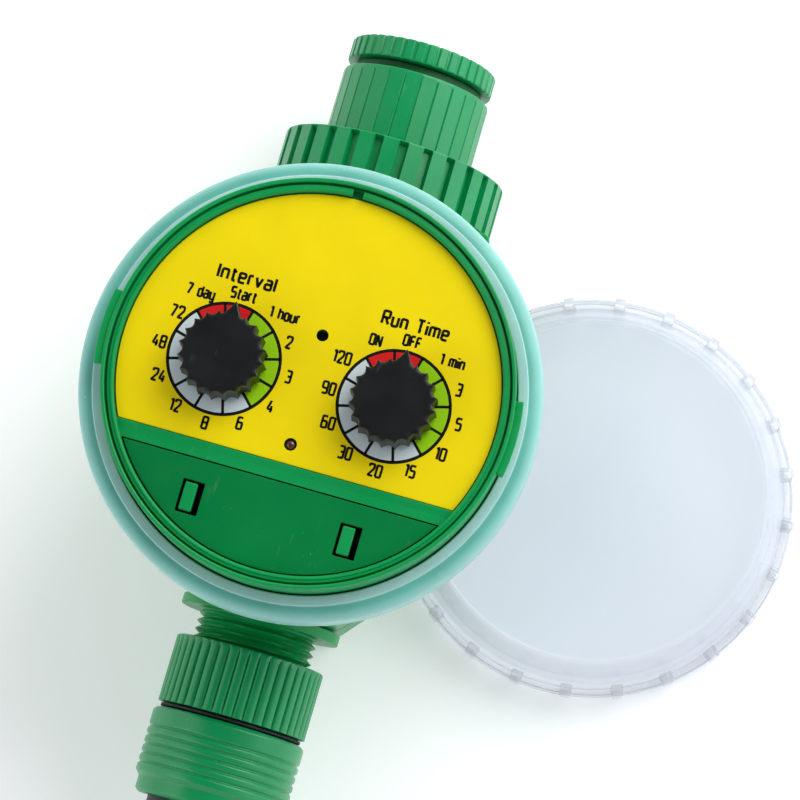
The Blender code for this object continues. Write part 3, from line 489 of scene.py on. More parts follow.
def disc_part(radius, low_y, high_y, steps=60):
    """A disc's outline between two horizontal chords; None leaves that side round."""
    low = -pi / 2 if low_y is None else asin(low_y / radius)
    high = pi / 2 if high_y is None else asin(high_y / radius)
    points = mirrored(arc(radius, low, high, steps))
    return points[:1] + [here for before, here in zip(points, points[1:])
                         if hypot(here[0] - before[0], here[1] - before[1]) > 1e-6]


def box_loop(x0, y0, x1, y1, radius):
    return rounded([(x0, y0), (x1, y0), (x1, y1), (x0, y1)], radius)


# --- ribs and threads ---

def rib_angles(count, *shares):
    """Angles for a ribbed lathe. shares are places between a rib's middle, 0, and the groove's middle,
    0.5, as shares of a pitch; the groove's other side mirrors them."""
    every = (0.0, *shares, 0.5, *(1.0 - share for share in reversed(shares)))
    pitch = 2 * pi / count
    return [(i + share) * pitch for i in range(count) for share in every]


def off_middle(angle, pitch):
    """How far an angle is from the middle of the nearest rib."""
    return abs((angle + pitch / 2) % pitch - pitch / 2)


def flat_ribs(outer, depth, count, half_share, wall_share, from_radius, ends=(None, None), run_out=0.8):
    """Radius for flat-topped ribs on the part of a lathe beyond from_radius. ends are the upper and lower
    height where the grooves between them run out, or None for open ends."""
    pitch = 2 * pi / count
    half = half_share * pitch
    wall = wall_share * pitch

    def shaped(radius, height, angle):
        if radius < from_radius:
            return radius
        off = off_middle(angle, pitch)
        inset = outer - radius
        top = outer * cos(half) / cos(min(off, half))
        sink = depth * min(1.0, max(0.0, (off - half) / wall))
        upper, lower = ends
        if lower is not None:
            sink *= min(1.0, max(0.0, (height - lower) / run_out))
        if upper is not None:
            sink *= min(1.0, max(0.0, (upper - height) / run_out))
        return top - inset - sink
    return shaped


def round_ribs(depth, count, from_radius, low, high, run_out):
    """Radius for close convex ribs with sharp valleys that run out before the ends."""
    pitch = 2 * pi / count

    def shaped(radius, height, angle):
        if radius < from_radius or not low < height < high:
            return radius
        off = off_middle(angle, pitch) / (pitch / 2)
        sink = depth * (1.0 - sqrt(max(0.0, 1.0 - off * off)))
        fade = min(1.0, (height - low) / run_out, (high - height) / run_out)
        return radius - sink * fade
    return shaped


def thread(depth, pitch, low, high, from_radius):
    """Radius for a right-hand thread along Y on the part of a lathe beyond from_radius."""
    def shaped(radius, height, angle):
        if radius < from_radius or not low <= height <= high:
            return radius
        phase = (height / pitch + angle / (2 * pi)) % 1.0
        tooth = abs(2 * phase - 1.0)
        cut = min(1.0, max(0.0, (tooth - 0.1) / 0.8))
        fade = min(1.0, (height - low) / 0.7, (high - height) / 0.7)
        return radius - depth * cut * fade
    return shaped


def stations(radius, high, low, step):
    """Points down a lathe's outline from high to low, close enough to carry a thread or ribs."""
    count = int((high - low) / step)
    return [(radius, low + (high - low) * i / count) for i in range(count, -1, -1)]


# --- housing ---

def smooth_by_angle(angle):
    """A modifier's node group that shades a faceted mesh smooth and keeps edges over the angle sharp."""
    group = bpy.data.node_groups.new("smooth_by_angle", "GeometryNodeTree")
    group.interface.new_socket("Geometry", in_out="INPUT", socket_type="NodeSocketGeometry")
    group.interface.new_socket("Geometry", in_out="OUTPUT", socket_type="NodeSocketGeometry")
    nodes = group.nodes
    entry, leave = nodes.new("NodeGroupInput"), nodes.new("NodeGroupOutput")
    faces, edges = (nodes.new("GeometryNodeSetShadeSmooth") for _ in range(2))
    edges.domain = "EDGE"
    edges.inputs["Shade Smooth"].default_value = False
    corner = nodes.new("GeometryNodeInputMeshEdgeAngle")
    sharp = nodes.new("FunctionNodeCompare")
    sharp.operation = "GREATER_THAN"
    sharp.inputs["B"].default_value = angle
    for source, target in ((entry.outputs["Geometry"], faces.inputs["Geometry"]),
                           (faces.outputs["Geometry"], edges.inputs["Geometry"]),
                           (corner.outputs["Unsigned Angle"], sharp.inputs["A"]),
                           (sharp.outputs["Result"], edges.inputs["Selection"]),
                           (edges.outputs["Geometry"], leave.inputs["Geometry"])):
        group.links.new(source, target)
    return group


SMOOTHING = smooth_by_angle(radians(28))


def keep_node(name, material, bevel):
    """A CAD node shown as it is, with smooth rounds, eased edges and a material."""
    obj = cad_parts[name]
    obj.data.materials.clear()
    obj.data.materials.append(material)
    weld = obj.modifiers.new("weld", "WELD")
    weld.merge_threshold = 1e-6
    obj.modifiers.new("smooth", "NODES").node_group = SMOOTHING
    if bevel:
        ease = obj.modifiers.new("ease", "BEVEL")
        ease.width = bevel * MM
        ease.segments = 2
        ease.limit_method = "ANGLE"
        ease.angle_limit = radians(34)
        ease.harden_normals = True


def block_plan(inset, tap_end=None):
    """The block's outline from above: square at the tap end, its corners cut across at the outlet end.
    tap_end is the inset there, if it differs."""
    x, low = BLOCK_HALF_W - inset, BLOCK_LOW_Y + inset
    high = BLOCK_HIGH_Y - (inset if tap_end is None else tap_end)
    slant = BLOCK_HALF_W - BLOCK_LOW_Y - BLOCK_CORNER - inset * sqrt(2.0)
    return mirrored([(slant + low, low), (x, x - slant), (x, high)])


def block_end(inset, low, high):
    """The block's outline along the pipe: upright foot, flare, upright side."""
    foot, side = FOOT_HALF_W - inset, BLOCK_HALF_W - inset
    return mirrored([(foot, low), (foot, FOOT_TOP), (side, FLARE_TOP), (side, high)])


def along_pipe(outline, low, high):
    """A slab that runs along Y from low to high; its outline is in X and Z."""
    mesh = slab([outline], -high, -low, 0.02)
    mesh.transform(Matrix.Rotation(pi / 2, 4, "X"))
    return mesh


def screw_names(kind):
    return [f"{kind}_screw_{number}" for number in range(1, 5)]


def screw_places(kind):
    return [((low + high) / 2 / MM)[:2] for low, high in map(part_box, screw_names(kind))]


def pillars(kind, radius, low, high):
    """Upright rods at the screws of one kind."""
    profile = [(0.0, high), (radius, high), (radius, low), (0.0, low)]
    return merged(*[upright(profile, 32, place) for place in screw_places(kind)])


def pipe_hole():
    reach = 60.0
    hole = lathe([(0.0, reach), (PIPE_HOLE_R, reach), (PIPE_HOLE_R, -reach), (0.0, -reach)], even(96))
    face_outwards(hole)
    return hole


def mid_housing():
    """Round part with a floor, on the upper half of the block; both are hollow and the pipe runs through."""
    floor_top = DRUM_Z + WALL
    ease, corner = 0.3, 1.6
    profile = [(0.0, floor_top), (DRUM_R - WALL, floor_top), (DRUM_R - WALL, DRUM_TOP),
               (DRUM_R - ease, DRUM_TOP), (DRUM_R, DRUM_TOP - ease)]
    profile += arc(corner, 0.0, -pi / 2, 8, (DRUM_R - corner, DRUM_Z + corner)) + [(0.0, DRUM_Z)]
    drum = upright(profile, 192)
    block = slab([rounded(block_plan(0.0), 2.2, 5)], SPLIT_Z + GAP / 2, BLOCK_TOP, 0.4)
    roof = BLOCK_TOP - WALL
    room = slab([rounded(block_plan(WALL, 3 * WALL), 1.0)], SPLIT_Z - 7, roof, 0.02)
    room = carved(room, pillars("housing", POST_R, SPLIT_Z - 9, BLOCK_TOP + 2))
    way_up = slab([box_loop(*WAY_UP, 1.0)], roof - 1, floor_top + 1, 0.02)
    bores = merged(pillars("housing", 1.3, SPLIT_Z - 2, 38.0),
                   pillars("front", 1.5, DRUM_Z - 3, floor_top + 3))
    mesh = carved(carved(drum, block, operation="UNION"), room, way_up, pipe_hole(), bores)
    stand_for(mesh, "mid_housing", green, smooth=30.0)


def back_cover():
    """Lower half of the block: a tray with a narrow foot, screw posts and deep recesses for the heads."""
    top = SPLIT_Z - GAP / 2

    def within_plan(mesh, inset, radius, steps, low, high):
        plan = slab([rounded(block_plan(inset), radius, steps)], low, high, 0.02)
        return carved(mesh, plan, operation="INTERSECT")

    tray = rounded(block_end(0.0, 0.0, top), 0.8, 4)
    tray = along_pipe(tray, BLOCK_LOW_Y - 2, BLOCK_HIGH_Y + 2)
    tray = within_plan(tray, 0.0, 2.2, 5, -5, top + 5)
    room = along_pipe(block_end(WALL, WALL, top + 5), BLOCK_LOW_Y, BLOCK_HIGH_Y)
    room = within_plan(room, WALL, 1.0, 3, 0.0, top + 9)
    room = carved(room, pillars("housing", POST_R, 1.0, top + 12))
    mesh = carved(tray, room, pipe_hole(), pillars("housing", 2.7, -1.0, SCREW_SEAT_Z),
                  pillars("housing", 1.5, SCREW_SEAT_Z - 1, top + 2))
    stand_for(mesh, "back_cover", green, smooth=30.0)


def front_shell():
    low = 62.2
    corner = arc(3.0, pi / 2, 0.0, 10, (45.2, SHELL_TOP - 3.0))
    profile = [(42.8, SHELL_TOP - 0.4), (43.15, SHELL_TOP), (44.9, SHELL_TOP), (45.1, SHELL_TOP - 0.25)]
    profile += [(r, h - 0.25) for r, h in corner]
    profile += [(48.2, low + 1.0), (47.7, low), (44.9, low), (44.9, low + 2.0), (46.0, low + 3.2),
                (46.0, SHELL_TOP - 3.6), (44.6, SHELL_TOP - 2.0), (42.8, SHELL_TOP - 2.0)]
    mesh = upright(profile, 192)
    stand_for(mesh, "front_shell", shell_plastic, smooth=50.0)


def face_holes(shaft, hole, lamp_hole, steps):
    """Round holes for both knobs' shafts, the plain hole and the lamp."""
    return [circle(shaft, 32, (-DIAL_X, DIAL_Y)), circle(shaft, 32, (DIAL_X, DIAL_Y)),
            circle(hole, steps, (0.0, HOLE_Y)), circle(lamp_hole, steps, (0.0, LAMP_Y))]


def sloping_strip():
    """The strip above the door, with a raised edge and a lower band that its cutter leaves."""
    strip = slab([disc_part(40.1, STRIP_LOW_Y, STRIP_TOP_Y, 12)], LABEL_Z - 1.5, LABEL_Z + 0.5, 0.1)
    reach, band, above = 45.0, LABEL_Z + 0.22, RING_TOP
    rise = [(STRIP_TOP_Y - 0.25, band + 0.3), (-19.1, band), (STRIP_LOW_Y - 0.5, band),
            (STRIP_LOW_Y - 0.5, above), (STRIP_TOP_Y - 0.25, above)]
    cutter = bpy.data.meshes.new("slope")
    cutter.from_pydata([(side * MM, y * MM, z * MM) for side in (-reach, reach) for y, z in rise], [],
                       [(0, 1, 2, 3, 4), (9, 8, 7, 6, 5)]
                       + [(i, i + 5, (i + 1) % 5 + 5, (i + 1) % 5) for i in range(5)])
    return carved(strip, cutter)


def bayonet_lug(middle):
    half = radians(10.5)
    outline = arc(44.1, middle - half, middle + half, 14) + arc(42.2, middle + half, middle - half, 14)
    return slab([rounded(outline, 0.2, 2)], LABEL_Z - 0.6, LABEL_Z + 1.4, 0.25)


def face_plate():
    """Plate, double wall round the face with its moulded notch, bayonet lugs, strip and screw posts."""
    inner = [(INNER_IN, 81.1), (39.95, 81.55), (40.45, 81.6), (40.6, 81.3), (41.1, 81.3), (41.25, 81.0),
             (41.25, 80.3), (41.6, 80.3)]
    outer = [(41.6, RING_TOP - 0.2), (41.8, RING_TOP), (42.3, RING_TOP), (RING_OUT, RING_TOP - 0.2),
             (RING_OUT, 68.5), (RING_IN, 68.5), (RING_IN, PLATE_LOW), (INNER_IN, PLATE_LOW)]
    ring = upright(rounded(inner + outer, 0.12, 2), 216)
    ring = carved(ring, slab([box_loop(-2.1, 39.2, 0.1, 41.2, 0.1)], 79.2, RING_TOP + 2, 0.02))
    plate = slab([disc_part(PLATE_R, STRIP_LOW_Y + 0.02, None)] + face_holes(4.2, 1.3, 1.5, 24),
                 PLATE_LOW, LABEL_Z - 0.7, 0.02)
    bay = box_loop(-22.9, -32.6, 22.9, -21.7, 0.5)
    seat = slab([disc_part(PLATE_R, None, STRIP_LOW_Y), bay], PLATE_LOW, DOOR_LOW - 0.3, 0.02)
    lugs = [bayonet_lug(middle) for middle in (0.0, pi)]
    post_top, post_low = PLATE_LOW + 0.5, 47.5
    tube = rounded([(2.5, post_top), (2.5, post_low), (1.4, post_low), (1.4, post_top)], 0.2)
    posts = [upright(tube, 24, place) for place in screw_places("front")]
    mesh = merged(ring, plate, seat, sloping_strip(), *lugs, *posts)
    stand_for(mesh, "face_plate", green)


def battery_door():
    windows = [box_loop(x - 2.3, -32.6, x + 2.3, -25.7, 0.25) for x in (-WINDOW_X, WINDOW_X)]
    mesh = slab([disc_part(LABEL_R, None, -21.2)] + windows, DOOR_LOW, 80.3, 0.14)
    stand_for(mesh, "battery_door", door_green, "door")


def latch_tab(x, body, node):
    """Tab in one of the door's windows, with its edges eased."""
    x -= 0.35
    mesh = slab([box_loop(x - 1.3, -32.1, x + 1.3, -26.2, 0.3)], 78.4, 80.6, 0.3)
    finish_piece(mesh, body + "_look", green, body, [node])


# --- dials ---

# Plain stroke letters: each one's width, and the points of its lines on a grid where capitals are 6 high
GLYPHS = {
    "0": (3, "0,0 3,0 3,6 0,6 0,0"),
    "1": (1.4, "0,5.2 1.4,6 1.4,0"),
    "2": (3, "0,4.6 0,6 3,6 3,3.8 0,0 3,0"),
    "3": (3, "0,6 3,6 3,0 0,0 / 1,3.1 3,3.1"),
    "4": (3, "1.5,6 0,1.5 3.2,1.5 / 2.3,3.4 2.3,0"),
    "5": (3, "3,6 0,6 0,3.4 3,3.4 3,0 0,0"),
    "6": (3, "2.8,6 0,6 0,0 3,0 3,3.4 0,3.4"),
    "7": (3, "0,6 3,6 1,0"),
    "8": (3, "0,0 3,0 3,6 0,6 0,0 / 0,3.1 3,3.1"),
    "9": (3, "0.2,0 3,0 3,6 0,6 0,2.7 3,2.7"),
    "O": (3, "0,0 3,0 3,6 0,6 0,0"),
    "N": (3, "0,0 0,6 3,0 3,6"),
    "F": (2.6, "0,0 0,6 2.6,6 / 0,3.1 2.3,3.1"),
    "I": (0, "0,0 0,6"),
    "R": (3, "0,0 0,6 3,6 3,3 0,3 / 1.4,3 3,0"),
    "T": (3, "0,6 3,6 / 1.5,6 1.5,0"),
    "S": (3, "3,6 0,6 0,3.1 3,3.1 3,0 0,0"),
    "a": (2.6, "0.2,4.3 2.6,4.3 2.6,0 0,0 0,2.4 2.6,2.4"),
    "d": (2.6, "2.6,6 2.6,0 0,0 0,4.3 2.6,4.3"),
    "e": (2.6, "2.6,0 0,0 0,4.3 2.6,4.3 2.6,2.2 0,2.2"),
    "h": (2.6, "0,6 0,0 / 0,4.3 2.6,4.3 2.6,0"),
    "i": (0, "0,4.3 0,0 / 0,5.4 0,6.2"),
    "l": (0, "0,6 0,0"),
    "m": (4.2, "0,0 0,4.3 4.2,4.3 4.2,0 / 2.1,4.3 2.1,0"),
    "n": (2.6, "0,0 0,4.3 2.6,4.3 2.6,0"),
    "o": (2.6, "0,0 2.6,0 2.6,4.3 0,4.3 0,0"),
    "r": (1.5, "0,0 0,4.3 1.6,4.3"),
    "t": (1.8, "0.7,5.6 0.7,0 1.9,0 / 0,4.3 1.9,4.3"),
    "u": (2.6, "0,4.3 0,0 2.6,0 2.6,4.3"),
    "v": (2.6, "0,4.3 1.3,0 2.6,4.3"),
    "y": (2.6, "0,4.3 0,0 2.6,0 / 2.6,4.3 2.6,-1.7 0.3,-1.7"),
    " ": (1.6, ""),
}
LETTER_GAP = 1.6


def ribbon(line, half):
    """A thin closed strip along a line of points, with mitred joints."""
    sides = []
    for (x0, y0), (x1, y1) in zip(line, line[1:]):
        length = hypot(x1 - x0, y1 - y0)
        sides.append(((y0 - y1) / length, (x1 - x0) / length))
    left, right = [], []
    for here, before, after in zip(line, sides[:1] + sides, sides + sides[-1:]):
        nx, ny = before[0] + after[0], before[1] + after[1]
        size = hypot(nx, ny)
        nx, ny = nx / size, ny / size
        reach = half / max(0.5, nx * before[0] + ny * before[1])
        left.append((here[0] + nx * reach, here[1] + ny * reach))
        right.append((here[0] - nx * reach, here[1] - ny * reach))
    return left + right[::-1]


def plates(outlines, low, high):
    """Thin flat solids from strips: each outline is two equal rows of points, there and back."""
    shape = bmesh.new()
    for outline in outlines:
        half = len(outline) // 2
        rows = [[shape.verts.new((x * MM, y * MM, z * MM)) for x, y in outline] for z in (low, high)]
        count = len(outline)
        for i in range(half - 1):
            a, b, c, d = i, i + 1, count - 2 - i, count - 1 - i
            shape.faces.new([rows[1][k] for k in (a, b, c, d)])
            shape.faces.new([rows[0][k] for k in (d, c, b, a)])
        for i in range(count):
            j = (i + 1) % count
            shape.faces.new((rows[0][i], rows[0][j], rows[1][j], rows[1][i]))
    mesh = bpy.data.meshes.new("part")
    shape.to_mesh(mesh)
    shape.free()
    return mesh


def words(text, centre, height, stroke, width=None):
    """Strips for a line of text about its centre; width squeezes it to a set length."""
    unit = height / 6.0
    pen, strokes = 0.0, []
    for letter in text:
        advance, lines = GLYPHS[letter]
        for line in filter(None, lines.split("/")):
            points = [tuple(map(float, point.split(","))) for point in line.split()]
            strokes.append(rounded([(x + pen, y) for x, y in points], 0.75, 3, closed=False))
        pen += advance + LETTER_GAP
    total = pen - LETTER_GAP
    squeeze = (width - 2 * stroke) / (total * unit) if width else 0.84

    def placed(x, y):
        return (centre[0] + (x - total / 2) * unit * squeeze, centre[1] + (y - 3.0) * unit)

    return [ribbon([placed(x, y) for x, y in line], stroke) for line in strokes]


def sector(centre, inner, outer, first_deg, last_deg, steps=10):
    """A ring's sector; angles run clockwise from 12 o'clock."""
    first, last = pi / 2 - radians(first_deg), pi / 2 - radians(last_deg)
    return arc(outer, first, last, steps, centre) + arc(inner, last, first, steps, centre)


def ring_strip(centre, inner, outer, steps=96):
    return arc(outer, 0.0, 2 * pi, steps, centre) + arc(inner, 2 * pi, 0.0, steps, centre)


# Each dial's centre, and its marks clockwise from 12 o'clock
DIALS = (
    ((-DIAL_X, DIAL_Y), ("Start", "1 hour", "2", "3", "4", "6", "8", "12", "24", "48", "72", "7 day")),
    ((DIAL_X, DIAL_Y), ("OFF", "1 min", "3", "5", "10", "15", "20", "30", "60", "90", "120", "ON")),
)
TITLES = (("Interval", (-18.2, 17.6), 12.6), ("Run Time", (17.8, 17.4), 14.4))
# How far a mark stands from its even place on the circle
WORD_OFFSETS = {"1 hour": (2.6, 0.2), "1 min": (2.2, 0.2), "7 day": (-1.6, 0.3), "Start": (0.2, 0.15),
                "120": (-1.0, 0.0), "ON": (-0.4, 0.3), "OFF": (0.0, 0.15)}


def dial_face():
    """The label, and its print as thin raised ink in four colours."""
    film = slab([disc_part(LABEL_R, -17.2, None)] + face_holes(4.0, 1.25, 1.32, 32),
                LABEL_Z - 0.4, LABEL_Z, 0.04)
    stand_for(film, "dial_label", yellow)
    dark, red, lime, pale = [], [], [], []
    for centre, marks in DIALS:
        for i, mark in enumerate(marks):
            middle = 30.0 * i
            tint = red if i in (0, 11) else lime if i <= 4 else pale
            tint.append(sector(centre, SECTOR_IN, SECTOR_OUT, middle - 14.9, middle + 14.9))
            edge = pi / 2 - radians(middle + 15.0)
            line = [(centre[0] + r * cos(edge), centre[1] + r * sin(edge)) for r in (SECTOR_IN, SECTOR_OUT)]
            dark.append(ribbon(line, 0.29))
            turn = pi / 2 - radians(middle)
            dx, dy = WORD_OFFSETS.get(mark, (0.0, 0.0))
            place = (centre[0] + NUMBER_R * cos(turn) + dx, centre[1] + NUMBER_R * sin(turn) + dy)
            dark += words(mark, place, 2.4 if mark.isdigit() else 2.15, STROKE)
        dark.append(ring_strip(centre, *RING_LINE))
    for title, centre, width in TITLES:
        dark += words(title, centre, 2.7, TITLE_STROKE, width)
    prints = (("black", dark, ink, 0.03), ("red", red, ink_red, 0.02), ("lime", lime, ink_lime, 0.02),
              ("white", pale, ink_white, 0.02))
    for colour, outlines, material, proud in prints:
        mesh = plates(outlines, LABEL_Z - 0.01, LABEL_Z + proud)
        finish_piece(mesh, "print_" + colour, material, "timer")


def status_lamp():
    """Tinted lens with a domed top, just below the face."""
    outline = [(0.0, 79.7), (0.5, 79.62), (0.9, 79.4), (1.2, 79.05), (1.27, 78.6), (1.27, 75.4), (0.0, 75.4)]
    lens = upright(outline, 40, (0.0, LAMP_Y))
    stand_for(lens, "status_lamp", lamp, smooth=50.0)


def knob_radius(angle):
    """Pointed teeth with round hollows between them all round, and a long thin pointer towards +Y."""
    turn = (angle - pi / 2 + pi) % (2 * pi) - pi
    pitch = 2 * pi / 20
    reach = pitch * 1.02
    if abs(turn) < reach:
        return max(8.15, 8.1 + 2.85 * (1.0 - abs(turn) / reach) ** 2.3)
    return 8.98 - 0.95 * abs(sin(pi * turn / pitch)) ** 0.8


def knob(name, x, body):
    low, top, rim = LABEL_Z + 0.4, KNOB_TOP, 8.95
    angles = even(400)
    shape_at = {angle: knob_radius(angle) for angle in angles}
    profile = [(0.0, top), (5.0, top), (7.2, top), (rim - 0.4, top), (rim - 0.14, top - 0.1),
               (rim - 0.03, top - 0.28), (rim, top - 0.5), (9.02, top - 3.0), (9.1, low + 0.3), (8.9, low),
               (3.3, low), (3.3, top - 1.8), (0.0, top - 1.8)]

    def shaped(radius, height, angle):
        if radius < 8.4:
            return min(radius, shape_at[angle] - 0.45) if radius > 7 else radius
        return shape_at[angle] + radius - rim

    mesh = lathe(profile, angles, shaped, (x, DIAL_Y, 0.0), "Z")
    stand_for(mesh, name, knob_black, body, 30.0)


# --- adapters above ---

def inlet_collar():
    out = 24.9
    profile = rounded([(16.9, 60.4), (out, 60.4), (out, 59.6), (out, 59.2), (out, 48.8), (out, 48.6),
                       (23.3, 48.4), (23.3, 47.4), (14.5, 47.4), (14.5, 49.0), (16.9, 49.0)], 0.45, 4)
    shaped = flat_ribs(out, 1.45, 28, 0.305, 0.05, 23.5, (60.15, None), 0.75)
    angles = rib_angles(28, 0.15, 0.27, 0.305, 0.33, 0.355, 0.38)
    stand_for(lathe(profile, angles, shaped), "inlet_collar", gloss_green, "collar", smooth=24.0)


def inlet_reducer():
    out = 16.6
    profile = rounded([(12.3, 77.7), (out, 77.7), (out, 76.7), (out, 76.2), (out, 60.8), (16.4, 60.0),
                       (16.4, 54.1), (9.4, 54.1), (9.4, 63.8), (12.3, 64.2)], 0.4, 4)
    shaped = flat_ribs(out, 0.26, 28, 0.43, 0.045, 16.05, (76.8, None), 0.5)

    def above_collar(radius, height, angle):
        return shaped(radius, height, angle) if height > 60.5 else radius

    mesh = lathe(profile, rib_angles(28, 0.2, 0.36, 0.43, 0.455), above_collar)
    stand_for(mesh, "inlet_reducer", gloss_green, "reducer", smooth=12.0)


def inlet_bush():
    out, bore_r, bore_low, bore_high = 16.45, 9.3, 67.6, 83.9
    profile = rounded([(bore_r, 84.6), (out, 84.6), (out, 79.9), (11.7, 79.9), (11.7, 66.9),
                       (bore_r, 66.9)], 0.5, 4)
    shaped = flat_ribs(out, 0.42, 40, 0.29, 0.14, 15.2)
    bush = lathe(profile, rib_angles(40, 0.16, 0.27, 0.31, 0.36, 0.42), shaped)
    groove = thread(0.75, PITCH, 68.0, 84.0, 9.0)

    def bore(radius, height, angle):
        return radius if radius > bore_r + 0.1 else 2 * bore_r - groove(bore_r, height, angle)

    lined = [(9.55, bore_high)] + stations(bore_r, bore_high, bore_low, 0.3) + [(9.55, bore_low)]
    mesh = merged(bush, lathe(lined, even(96), bore))
    stand_for(mesh, "inlet_bush", gloss_green, "bush", smooth=20.0)


# --- outlet ---

def valve_body():
    crest, thread_top = 13.22, -46.3
    head = rounded([(9.2, 51.5), (16.0, 51.5), (16.0, 49.2), (14.0, 49.2), (14.0, -44.0), (17.6, -44.0),
                    (17.6, thread_top), (crest, thread_top)], 0.25, 2, closed=False)[:-1]
    tail = [(9.0, -60.0), (9.0, -16.0), (6.2, -12.0), (6.2, -9.6), (9.2, -9.6)]
    cut = thread(1.15, PITCH, -60.4, thread_top, 13.0)
    body = lathe(head + stations(crest, thread_top, -60.0, 0.2) + tail, even(96),
                 lambda r, h, a: cut(r, h, a) if h <= thread_top else r)
    bonnet = [(4.8, 46.6), (6.6, 46.6), (6.6, 39.0), (3.3, 39.0), (3.3, 43.6), (4.8, 43.6)]
    mesh = merged(body, upright(rounded(bonnet, 0.2, 2), 40))
    stand_for(mesh, "valve_body", green, smooth=28.0)


def outlet_nut():
    out, ribs_low, ribs_high = 16.45, -67.9, -53.4
    profile = [(13.52, -53.0), (15.9, -53.0), (16.25, -53.12)]
    profile += stations(out, ribs_high, ribs_low, 1.1) + [(15.9, -68.0)]
    profile += rounded([(8.0, -68.0), (8.0, -72.4), (6.9, -72.4), (6.9, -74.8), (8.0, -74.8), (8.0, -78.4),
                        (6.8, -79.4), (6.8, -81.4), (7.6, -82.0), (7.0, -84.0), (5.0, -84.0), (5.0, -65.2)],
                       0.2, 2, closed=False)
    profile += [(13.52, -65.2)]
    shaped = round_ribs(0.62, 44, 16.0, ribs_low - 0.5, ribs_high + 0.3, 0.9)
    mesh = lathe(profile, rib_angles(44, 0.1, 0.2, 0.3, 0.4), shaped)
    stand_for(mesh, "outlet_nut", gloss_green, "outlet", smooth=55.0)


def connector_sleeve():
    out = 16.9
    grooves = []
    for y in (-73.6, -75.6, -77.6, -79.6, -81.6):
        grooves += [(out, y + 0.45), (out - 0.55, y), (out, y - 0.45)]
    profile = rounded([(13.1, -69.2), (16.1, -69.2), (out, -70.0)] + grooves
                      + [(out, -83.4), (15.9, -84.5), (15.9, -87.2), (15.1, -88.0), (13.1, -88.0)], 0.3, 3)
    mesh = lathe(profile, even(144))
    stand_for(mesh, "connector_sleeve", gloss_green, "sleeve", smooth=40.0)


def connector_body():
    """Barrel with a thread for the hose nut, round a barbed tail for the hose."""
    profile = [(8.9, -69.9), (12.8, -69.9), (12.8, -90.8)] + stations(12.4, -91.0, -99.9, 0.25)
    profile += [(12.2, -100.0), (11.0, -100.0), (11.0, -92.0), (6.3, -91.0)]
    for y in (-92.6, -95.0, -97.4):
        profile += [(6.3, y), (5.75, y - 0.1)]
    profile += [(6.3, -98.4), (5.6, -101.5), (4.8, -101.5), (4.8, -86.6), (8.9, -85.4)]
    mesh = lathe(profile, even(96), thread(0.7, 2.4, -100.0, -90.9, 12.3))
    stand_for(mesh, "connector_body", black, "connector")


def hose_nut():
    out = 15.6
    profile = rounded([(12.7, -91.4), (out, -91.4), (out, -92.5), (out, -101.9),
                       (out, -103.0), (9.0, -103.0), (9.0, -100.4), (12.7, -100.4)], 0.5, 4)
    shaped = flat_ribs(out, 0.6, 16, 0.3, 0.08, 14.4, (-91.9, -102.5), 0.6)
    mesh = lathe(profile, rib_angles(16, 0.14, 0.26, 0.3, 0.34, 0.4), shaped)
    stand_for(mesh, "hose_nut", gloss_green, "hose_end", smooth=24.0)


# --- clear cover ---

def clear_cover():
    """Flat window, sloping wall, skirt with an edge bead, grip ribs and bayonet slots."""
    profile = [(0.0, 17.5), (36.6, 17.5), (36.9, 17.45), (37.2, 17.2), (37.6, 17.2), (37.9, 17.45),
               (38.3, 17.4), (39.3, 16.6), (39.8, 15.2), (41.9, 7.8), (42.3, 7.1), (42.9, 6.9), (44.3, 6.9),
               (44.7, 6.5), (44.7, 5.6), (44.4, 5.2), (44.4, 1.5), (44.8, 1.2), (44.8, 0.5), (44.5, 0.15),
               (43.1, 0.15), (42.9, 0.4), (42.9, 5.2), (42.5, 5.6), (41.2, 6.0), (40.6, 6.9), (38.6, 14.9),
               (37.8, 16.1), (0.0, 16.1)]
    wall = lathe(profile, even(192), at=COVER_AT, axis="Z")

    def on_skirt(outline, low, high, bevel):
        placed = [(x + COVER_AT[0], y + COVER_AT[1]) for x, y in outline]
        return slab([placed], low, high, bevel)

    def wedge(middle, outer, inner, half, inner_half, steps):
        return (arc(outer, middle - half, middle + half, steps)
                + arc(inner, middle + inner_half, middle - inner_half, steps))

    half = radians(11.5)
    slots = [on_skirt(wedge(middle, 47.0, 41.9, half, half, 12), 3.4, 5.0, 0.02) for middle in (0.0, pi)]
    half = 1.1 / 45.0
    ribs = []
    for i in range(24):
        outline = rounded(wedge((i + 0.5) * pi / 12, 45.2, 42.6, half, half * 1.3, 4), 0.4, 3)
        ribs.append(on_skirt(outline, 0.3, 7.6, 0.3))
    wall = carved(carved(wall, merged(*ribs), operation="UNION"), *slots)
    stand_for(wall, "clear_cover", clear, "cover", 40.0)


# --- screws ---

def screw(name):
    """Pan head with a cross recess, driven upwards."""
    low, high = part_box(name)
    x, y = ((low + high) / 2 / MM)[:2]
    z0, z1 = low.z / MM, high.z / MM
    outline = rounded([(0.0, z1), (0.3, z1), (1.0, z1 - 1.4), (1.0, z0 + 2.0), (2.3, z0 + 2.0),
                       (2.3, z0 + 0.7), (1.7, z0), (0.0, z0)], 0.3, 3, closed=False)
    bars = [slab([box_loop(x - a, y - b, x + a, y + b, 0.1)], z0 - 0.5, z0 + 1.1, 0.05)
            for a, b in ((1.35, 0.28), (0.28, 1.35))]
    stand_for(carved(upright(outline, 32, (x, y)), *bars), name, steel)


# --- build ---

